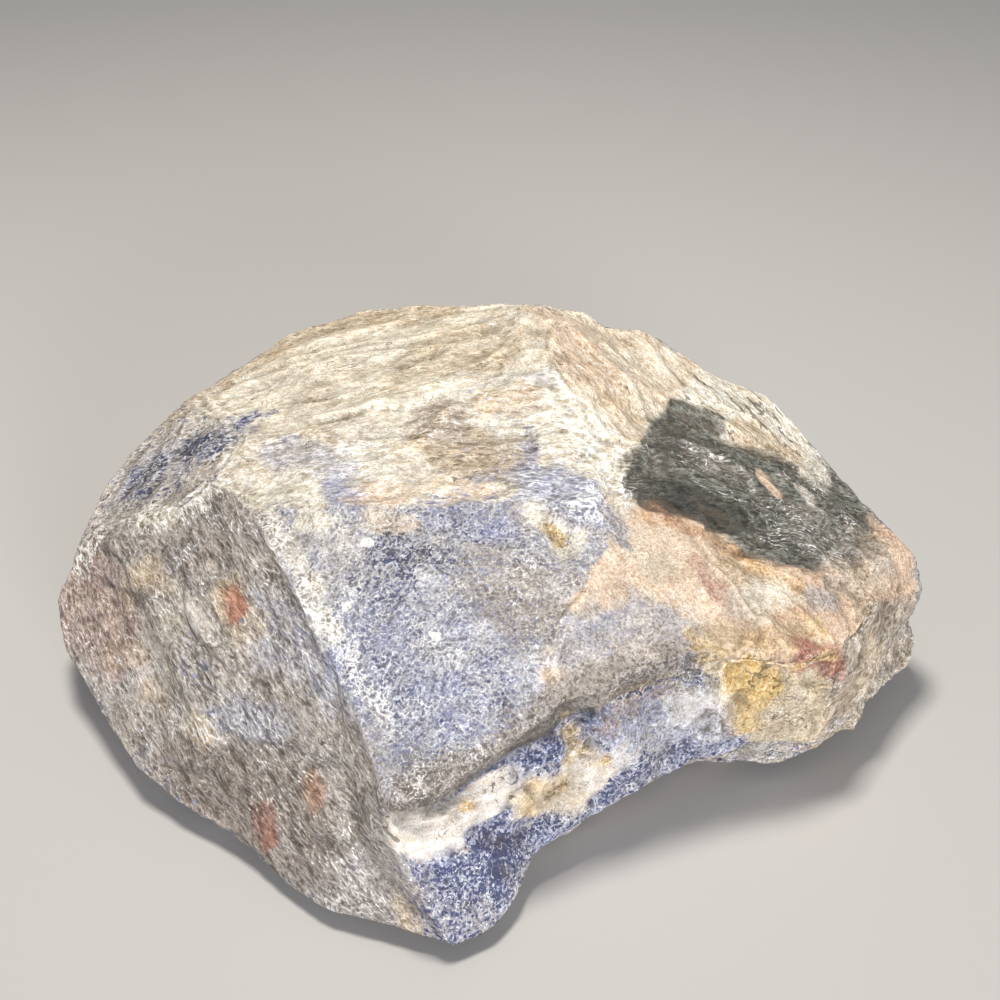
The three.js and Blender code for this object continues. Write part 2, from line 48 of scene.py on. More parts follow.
stone = {
    "cells": 128,                # cells along each side of the six patches of the net
    "evenRounds": 250,           # rounds of averaging that even out the cells of the net
    "wearRounds": 3,             # rounds of averaging that wear the broken edges
    "borderRounds": 21,          # rounds that blend the relief of one face into the next
    "edgeReach": 0.5,            # a sharp edge draws in the net from this share of a cell
    "heart": (-2, -5, 36),       # every face of the block is in sight from here
    "farthest": 400,             # mm from the heart, past every face
    "netSpread": (119, 92, 50),  # half length, half depth and half height, which even out the net
    "netLift": 0.22,             # turns the rays up, so that the net is finer on top
    "skin": 0.05,                # mm that the stone stays inside the box of the CAD piece
    "flakeSpacing": 44,          # mm between flakes, and the share of their size that they are sunk by
    "flakeSink": 0.3,
    "lumpSpacing": 24,           # mm between lumps
    "scarMean": 0.35,            # mean height of a scar's bowl, taken off to keep the stone's size
    "ledgeSteps": 2.6,           # steps that the noise behind the ledges climbs from its middle
    "riser": 0.22,               # share of a ledge's tread that its riser takes up
    "crestSteepness": 2.5,
    "stepWidth": 1,              # mm across the step of a one-sided mark
    "rimCalmWidth": 7,           # relief is weaker close to the rim, which keeps its outline
    "rimCalmShare": 0.6,
}

# Corners of the broken faces (mm), grouped by the edge that they lie on.
corners = {
    # widest outline from above, clockwise from the left tip
    "rim": [
        (-121, 6, 24), (-118, 22, 31), (-112, 38, 41), (-105, 45, 47), (-90, 56, 60), (-77, 70, 63),
        (-61, 81, 69), (-40, 83, 74), (-22, 82, 78), (9, 72, 83), (28, 69, 82), (33, 67, 79),
        (44, 68, 77), (54, 63, 73), (63, 56, 69), (79, 50, 65), (87, 41, 60), (96, 31, 54),
        (104, 21, 48), (116, 7, 40), (118, 0, 33), (112, -9, 30), (100, -28, 24), (90, -38, 18),
        (82, -41, 13), (74, -42, 17), (61, -43, 16), (45, -51, 15), (26, -63, 12), (11, -73, 10),
        (9, -79, 7), (3, -92, 5), (-7, -98, 4), (-18, -94, 5), (-38, -87, 5), (-59, -68, 6),
        (-76, -55, 8), (-91, -45, 11), (-103, -28, 14), (-116, -9, 19),
    ],
    # sharp edge between the left face and the blue face, from the top down to the toe
    "ridge": [
        (-73, 5, 64), (-61, -7, 63), (-46, -33, 56), (-35, -52, 47), (-27, -68, 40), (-23, -81, 35),
        (-17, -91, 21), (-10, -97, 9),
    ],
    "streak": [(-106, 17, 40), (-89, 8, 51)],
    # edge between the back of the stone and the top band
    "brow": [(-74, 34, 66), (-67, 19, 69), (-43, 15, 75), (-24, 20, 79), (-14, 24, 81), (2, 25, 84)],
    "crest": [(9, 41, 87), (16, 55, 86), (16, 26, 86), (4, 42, 84)],
    "back": [(-26, 53, 77)],
    "east": [(33, 29, 79), (22, 18, 82), (28, 6, 76), (40, 8, 72)],
    # outline and inner step of the dark slab
    "dark": [
        (48, 30, 72), (41, 16, 73), (30, -6, 69), (40, -4, 69), (53, -3, 66), (65, -6, 61),
        (41, -7, 64), (53, -9, 60), (63, -14, 56), (76, -18, 53), (92, -14, 46), (100, 3, 46),
        (63, 23, 67), (78, 23, 62),
    ],
    "crease": [(53, -18, 59), (60, -28, 54), (64, -41, 48)],
    "fold": [(27, -31, 65), (19, -46, 60), (13, -58, 55)],
    # top and front borders of the blue face: the hem above, the overhanging lip below
    "hem": [(-38, -12, 69), (-15, -16, 71), (12, -16, 72), (27, -17, 70)],
    "band": [(-26, 0, 75), (6, 3, 78), (20, -1, 77)],
    "lip": [
        (-20, -84, 38), (-10, -82, 39), (-2, -76, 42), (6, -71, 45), (16, -65, 49), (27, -59, 50),
        (39, -54, 52), (49, -49, 52),
    ],
    "sill": [
        (-22, -83, 33), (-11, -80, 34), (-4, -74, 35), (6, -68, 38), (16, -63, 41), (26, -60, 44),
        (37, -55, 47), (49, -51, 48),
    ],
    # ochre corner at the right front
    "shelf": [(59, -48, 49), (71, -46, 45), (84, -39, 42), (59, -48, 44), (72, -45, 38)],
    "end": [(100, -17, 41), (88, -35, 42), (85, -43, 34)],
    "flank": [(-82, -14, 42), (-72, -33, 35), (-75, -45, 21), (-48, -58, 33), (-37, -77, 22)],
    "blue": [(-3, -39, 62), (-21, -58, 50)],
    "cliff": [(0, -78, 23), (-9, -89, 18)],
}

# Each face: its kind, how far its middle swells (mm, minus is hollow), and its corners in order.
facets = [
    ("shoulder", 1.2, "rim1 rim2 rim3 rim4 brow0 brow1 ridge0 streak1 streak0"),
    ("left", 0.2, "rim0 rim1 streak0 streak1 flank0 flank1 flank2 rim38 rim39"),
    ("left", -0.5, "streak1 ridge0 ridge1 ridge2 ridge3 flank3 flank1 flank0"),
    ("left", 0.4, "flank1 flank3 flank4 rim35 rim36 rim37 rim38 flank2"),
    ("left", 2, "ridge3 ridge4 ridge5 ridge6 ridge7 rim32 rim33 rim34 rim35 flank4 flank3"),
    ("blue", 1.1, "ridge1 hem0 hem1 blue0 blue1 ridge3 ridge2"),
    ("blue", 0.5, "hem1 hem2 hem3 fold0 fold1 fold2 blue0"),
    ("blue", 2, "blue1 blue0 fold2 lip4 lip3 lip2 lip1 lip0 ridge5 ridge4 ridge3"),
    ("band", 1.9, "brow1 brow2 band0 hem1 hem0 ridge1 ridge0"),
    ("band", 1.7, "brow2 brow3 brow4 brow5 band1 hem1 band0"),
    ("band", 1, "brow5 crest2 east1 band2 band1"),
    ("band", 0.5, "band1 band2 hem2 hem1"),
    ("band", 1.5, "band2 east1 east2 east3 dark2 hem3 hem2"),
    ("back", 0.6, "brow0 rim4 rim5 rim6 rim7 back0 brow3 brow2 brow1"),
    ("back", 0, "rim7 rim8 rim9 crest3 brow5 brow4 brow3 back0"),
    ("crest", 2.3, "crest3 rim9 crest1 crest0"),
    ("crest", 1, "crest3 crest0 crest1 crest2 brow5"),
    ("east", 0, "rim9 rim10 rim11 east0 east1 crest2 crest1"),
    ("east", 0.2, "rim11 rim12 rim13 rim14 dark0 east0"),
    ("east", -0.2, "east0 dark0 dark1 east3 east2 east1"),
    ("dark", 1.1, "dark0 dark12 dark5 dark4 dark3 dark2 east3 dark1"),
    ("dark", -0.8, "dark2 dark3 dark4 dark5 dark8 dark7 dark6"),
    ("dark", 1.2, "dark12 dark13 rim17 rim18 dark11 dark10 dark9 dark8 dark5"),
    ("eastRim", 1.4, "rim14 rim15 rim16 rim17 dark13 dark12 dark0"),
    ("bowl", 1.6,
     "hem3 dark2 dark6 dark7 crease0 crease1 crease2 shelf0 lip7 lip6 lip5 lip4 fold2 fold1 fold0"),
    ("slope", 2.2, "crease0 dark7 dark8 dark9 dark10 end0 end1 shelf2 shelf1 shelf0 crease2 crease1"),
    ("slope", 2, "dark11 rim18 rim19 rim20 end0 dark10"),
    ("end", 1.5, "rim20 rim21 rim22 rim23 rim24 end2 end1 end0"),
    ("ochre", 0, "lip7 shelf0 shelf3 sill7"),
    ("ochre", 0, "shelf0 shelf1 shelf4 shelf3"),
    ("ochre", 0, "shelf1 shelf2 end1 end2 shelf4"),
    ("ochre", 1.1, "sill7 shelf3 shelf4 end2 rim24 rim25 rim26"),
    ("cliff", 0, "sill6 sill7 rim26 rim27"),
    ("cliff", 0.1, "ridge5 sill0 sill1 sill2 cliff0 cliff1 ridge6"),
    ("cliff", 0.5, "sill2 sill3 sill4 rim28 rim29 cliff0"),
    ("cliff", 2.5, "sill4 sill5 sill6 rim27 rim28"),
    ("toe", 1.9, "cliff0 rim29 rim30 rim31 rim32 ridge7 ridge6 cliff1"),
    ("recess", 0, "ridge5 lip0 sill0"),
]

# Relief of each kind of face: the way its grain runs, then how much longer its marks are that way
# and the size in mm of its flakes, lumps, hollow scars, chips and ledges.
reliefSizes = ("long", "flake", "lump", "scar", "chip", "ledge")
reliefs = {
    "left": ((0.43, -0.85, -0.3), 4, 0.6, 0.9, 0.8, 0.9, 0.6),
    "shoulder": ((0.71, 0.52, 0.48), 2.5, 1.5, 1.2, 1.6, 1.2, 1),
    "back": ((0.97, 0.1, 0.2), 4, 1.2, 0.9, 1.2, 1.4, 1.1),
    "crest": ((0.3, 0.9, 0.1), 2, 0.5, 0.9, 1.2, 0.8, 0.6),
    "band": ((0.98, 0.09, 0.15), 2.5, 0.8, 1.4, 1.7, 1, 0.7),
    "blue": ((0.6, -0.7, -0.2), 1.5, 0.4, 1, 1, 0.6, 0.7),
    "east": ((0.5, -0.84, -0.21), 3.5, 1.2, 1.3, 1.4, 0.6, 1.1),
    "eastRim": ((0.7, -0.6, -0.3), 2, 1, 1, 1.2, 0.7, 0.6),
    "dark": ((0.87, -0.32, -0.37), 2.5, 1.2, 1.3, 1.6, 1.4, 0.4),
    "bowl": ((0.67, 0.74, 0.12), 2, 0.3, 0.8, 0.7, 0.4, 0.5),
    "slope": ((0.91, -0.23, -0.33), 2, 1, 1.2, 1.6, 1.1, 1.2),
    "end": ((-0.57, -0.76, -0.31), 4, 2, 1.2, 1.4, 1.5, 0.4),
    "ochre": ((0.2, -0.2, 0.95), 1.5, 1, 1.2, 1.6, 1.5, 1.1),
    "cliff": ((0.8, 0.5, 0.2), 1.5, 1.5, 1.3, 1.8, 1.4, 1.2),
    "toe": ((0.5, 0.5, 0.3), 1.3, 1, 0.9, 1, 0.7, 0.6),
    "recess": ((0.8, 0.5, 0.2), 2, 0, 0.6, 0.6, 0.5, 0.3),
    "wall": ((0.2, 0.1, 0.95), 1.6, 9, 2.6, 3, 2.2, 1),
    "under": ((0.8, 0.3, 0.1), 2, 4, 1.2, 1.6, 1, 0.5),
}

# Single marks: half width and rise in mm (minus is a cut), the side of its line that one with a step
# stands on, and the line that it follows.
marks = {
    "bench": (4.5, 1.5, None, [(-102, 11, 41), (-90, -8, 39), (-79, -27, 34), (-70, -48, 24)]),
    "ridgeSpine": (3, 0.9, None, [(-61, -7, 63), (-46, -33, 56), (-35, -52, 47), (-23, -81, 35)]),
    "browLedge": (3.5, 1.1, None, [(-51, 19, 72), (-30, 21, 78), (-14, 26, 81), (2, 39, 84)]),
    "cleft": (3.6, -3.2, None, [(19, -63, 46), (22, -64, 34), (20, -67, 28)]),
    "rightCrack": (3, -1.6, None, [(30, -59, 38), (37, -55, 40), (47, -52, 42)]),
    "underShelf": (3, -1.8, None, [(51, -50, 46), (60, -49, 45), (74, -45, 39), (83, -41, 37)]),
    "cornerCrack": (3, -1.4, None, [(60, -47, 43), (64, -48, 26)]),
    "eastRib": (3.5, 1.2, None, [(22, 57, 82), (40, 27, 76)]),
    "eastFurrow": (3.5, -1.2, None, [(30, 65, 81), (48, 40, 75)]),
    "bandScoop": (9, -1.5, None, [(-16, -6, 74), (2, 3, 78)]),
    "bluePit": (4.5, -1.3, None, [(13, -20, 71), (19, -28, 68)]),
    "endLayer": (3.2, -1.3, None, [(109, -5, 38), (81, -43, 25)]),
    "leftStep": (9, 1.2, (0.25, 0.68, 0.68),
        [(-114, 14, 30), (-100, -1, 34), (-91, -10, 38), (-83, -15, 41), (-73, -29, 39), (-65, -38, 37)]),
    "leftStepUpper": (6, 0.9, (0.25, 0.68, 0.68), [(-82, -6, 46), (-70, -24, 44), (-64, -32, 41)]),
    "leftStepShort": (4, 0.7, (0.25, 0.68, 0.68), [(-67, -19, 48), (-58, -27, 48)]),
    "leftStepLow": (7, 1.1, (0.25, 0.68, 0.68),
        [(-71, -53, 17), (-61, -51, 27), (-48, -58, 31), (-38, -64, 31)]),
    "backLayer": (8, 1.1, (0, -1, 0.3), [(-76, 53, 64), (-55, 55, 71), (-32, 55, 76), (-12, 50, 80)]),
    "backLayerFront": (6, 0.8, (0, -1, 0.3), [(-75, 38, 66), (-54, 39, 71), (-31, 37, 76), (-15, 41, 79)]),
    "eastCrease": (6, 1.1, (0.6, 0.7, 0.4), [(17, 21, 84), (23, 17, 80), (29, 8, 75), (40, 8, 71)]),
    "eastLayer": (6, 1, (0.4, 0.9, 0.2), [(43, 34, 73), (54, 31, 69), (64, 26, 67)]),
    "slabLip": (6, 1.1, (0.2, 0.8, 0.5),
        [(43, 13, 71), (51, 14, 69), (61, 14, 65), (66, 11, 63), (71, 1, 60)]),
    "slabStep": (5, 1.1, (0.3, 0.9, 0.3), [(66, 26, 67), (76, 21, 62), (86, 20, 58)]),
    "bowlRib": (5, 1.1, (0.9, 0.3, 0.4), [(50, -10, 60), (55, -22, 58), (63, -31, 53), (67, -40, 50)]),
    "foldStep": (5, 0.8, (0.8, 0.3, 0.5), [(23, -40, 61), (17, -48, 59), (12, -55, 56)]),
    "ochreBlock": (4, 1.2, (0.5, 0, 0.8), [(58, -45, 45), (60, -46, 37), (68, -45, 36), (73, -44, 36)]),
    "undercut": (5, 1.3, (0, -0.3, 1), [(31, -57, 37), (37, -53, 37), (45, -49, 41), (51, -48, 44)]),
    "arcStep": (5, 1, (1, 0, 0.3), [(45, -49, 40), (54, -46, 32), (58, -46, 27), (61, -45, 23)]),
    "slopeStep": (5, 0.9, (0.9, 0.2, 0.3), [(84, -12, 51), (91, -19, 43), (92, -29, 38)]),
    "endStep": (6, 1.2, (0.9, -0.2, 0.2), [(98, -14, 42), (99, -24, 32), (92, -33, 20)]),
    "wallStepUpper": (12, 2.6, (0, 0, 1),
        [(-84, 62, 40), (-46, 84, 50), (-4, 82, 47), (40, 72, 52), (66, 56, 44)]),
    "wallStepLow": (10, 2.2, (0, 0, 1),
        [(-64, 66, 20), (-16, 74, 26), (34, 64, 20), (78, 44, 27), (104, 18, 20)]),
    "wallCut": (7, -2.4, None, [(12, 80, 76), (4, 84, 52), (18, 76, 24)]),
    "wallCutLeft": (6, -2, None, [(-84, 64, 56), (-78, 66, 34), (-60, 62, 16)]),
}

# The sides below the rim bulge under the high back and draw in under the low front, down to the
# foot: the small flat spot that the stone rests on.
belly = {"turnHeight": 40, "bulge": 0.3, "mostDrawnIn": -9, "height": 0.32}
foot = {"centre": (-10, -3, -2), "half": (56, 44, 0), "middle": (-10, -3, -3)}

kinds = list(reliefs)
facets += [("recess", 0, f"lip{i} lip{i + 1} sill{i + 1} sill{i}") for i in range(len(corners["lip"]) - 1)]
rimLoop = corners["rim"] + corners["rim"][:1]

# Edges sharp enough to show as a clean line, each a run of corners.
sharpEdges = [
    corners["ridge"],
    corners["lip"] + corners["shelf"][:3],
    corners["sill"],
    rimLoop,
    corners["brow"] + corners["crest"][3:],
]

# Ways that the grains of the colour run, each on its own kinds of face.
grainWays = {
    "grainDown": {"grain": (0.54, -0.8, -0.19), "long": 3, "kinds": ("left", "east", "eastRim")},
    "grainAlong": {"grain": (0.95, -0.05, 0.05), "long": 2.6, "kinds": ("back", "band", "shoulder", "dark")},
    "grainEnd": {"grain": (-0.57, -0.76, -0.31), "long": 2.6, "kinds": ("end",)},
}


# The kinds of stone and film that lie next to each other, each with the colour of its pale grains
# and of its dark grains.
films = {
    "grey": ("d2cac1", "8a8078"),   # feldspar and nepheline, dull
    "umber": ("b5a99e", "6a5e55"),  # the same under a brown film
    "mauve": ("d2bcb1", "7e665c"),  # the same under a thin rusty film
    "cream": ("fffbee", "cbbda3"),  # fresh white feldspar
    "milk": ("fffbf2", "f3e2cf"),   # fresh white feldspar, clean
    "tan": ("eedcc0", "a58c69"),    # feldspar under a weathered film
    "pink": ("f6e4cf", "c8a685"),   # pinkish feldspar
    "steel": ("dcdce1", "7e7e8b"),  # grey syenite with fine blue sodalite in it
    "lilac": ("d0d3e2", "666b90"),  # the same with more sodalite
    "slab": ("8c8d82", "2a2a26"),   # aegirine, dark green-grey
    # painted shade: the dark colour of shadow in hollows, under overhangs and at the foot of steps
    "paintedShade": ("413e36", "171613"),   # aegirine in the shade of a hollow
    "ochre": ("fde2a6", "c1964f"),  # iron film, golden
    "rust": ("cf8a6c", "8a4630"),   # iron film, red
}

# Grains strewn through those films: their colour, which draw places them, how sharply they end and how much
# they cover. The second draw puts the dark flecks mostly in the valleys of the crinkle and the third puts
# the white grains mostly on its ridges: real grains, placed as painted shade and painted highlight on the
# fine broken relief.
grainLayers = [
    ("blue", "858cac", "first", 4, 0.7),     # sodalite, pale
    ("deep", "313a66", "first", 5, 0.88),    # sodalite, deep
    ("fleck", "453f39", "second", 5, 0.65),  # aegirine and dirt
    ("white", "fffefb", "third", 7, 0.9),    # feldspar, bruised
]
lineNames = ["shadowCracked", "veined"]
shareNames = [name for name, *_ in grainLayers] + lineNames

# Kinds of face whose colour ends at the edge of the face; the others run into each other.
steadyKinds = ("left", "dark", "recess", "wall", "under")

# What each kind of face is made of, with painted shade on some: the share of each film and of each kind of
# grain, and how much it has of dark lines (partly cracks, partly painted shadow) and of veins.
looks = {
    "left": dict(grey=0.54, umber=0.38, steel=0.08, blue=0.02, white=0.09, fleck=0.1, shadowCracked=0.9),
    "shoulder": dict(grey=0.5, steel=0.2, cream=0.15, tan=0.15, blue=0.06, deep=0.04, white=0.13,
                     fleck=0.08, shadowCracked=0.4, veined=0.7),
    "back": dict(cream=0.84, tan=0.12, grey=0.04, white=0.06, fleck=0.03, shadowCracked=0.8),
    "crest": dict(cream=0.95, tan=0.05, white=0.14, fleck=0.02, shadowCracked=0.5),
    "band": dict(cream=0.75, tan=0.13, steel=0.12, blue=0.03, white=0.09, fleck=0.05, shadowCracked=0.6),
    "blue": dict(steel=0.66, grey=0.26, cream=0.08, blue=0.1, deep=0.02, white=0.12, fleck=0.1, veined=0.3,
                 shadowCracked=0.2),
    "east": dict(cream=0.5, tan=0.2, pink=0.3, white=0.07, fleck=0.05, shadowCracked=1),
    "eastRim": dict(cream=0.8, grey=0.1, tan=0.1, white=0.12, fleck=0.05, shadowCracked=1.6),
    "dark": dict(slab=0.9, paintedShade=0.1, white=0.06, fleck=0.18, veined=0.35),
    "bowl": dict(pink=0.85, cream=0.15, white=0.03, fleck=0.01, shadowCracked=0.5),
    "slope": dict(pink=0.56, tan=0.32, rust=0.12, white=0.04, fleck=0.04, shadowCracked=0.8),
    "end": dict(tan=0.45, grey=0.2, umber=0.35, white=0.06, fleck=0.14, shadowCracked=0.8),
    "ochre": dict(cream=0.35, tan=0.5, ochre=0.1, grey=0.05, white=0.04, fleck=0.06, shadowCracked=1),
    "cliff": dict(lilac=0.6, steel=0.3, grey=0.1, blue=0.22, deep=0.2, white=0.09, fleck=0.14, veined=1),
    "toe": dict(lilac=0.15, steel=0.5, grey=0.35, blue=0.12, deep=0.1, white=0.1, fleck=0.2, veined=0.6),
    # the recess under the lip: brown film, the dark slab and painted shade, for the shadow under the
    # overhang
    "recess": dict(umber=0.5, paintedShade=0.3, slab=0.2, blue=0.03, white=0.02, fleck=0.3),
    "wall": dict(grey=0.4, steel=0.25, cream=0.2, tan=0.15, blue=0.16, deep=0.1, white=0.1, fleck=0.12,
                 shadowCracked=0.6, veined=0.4),
    "under": dict(grey=0.4, umber=0.3, tan=0.3, blue=0.08, white=0.08, fleck=0.12, shadowCracked=0.5),
}

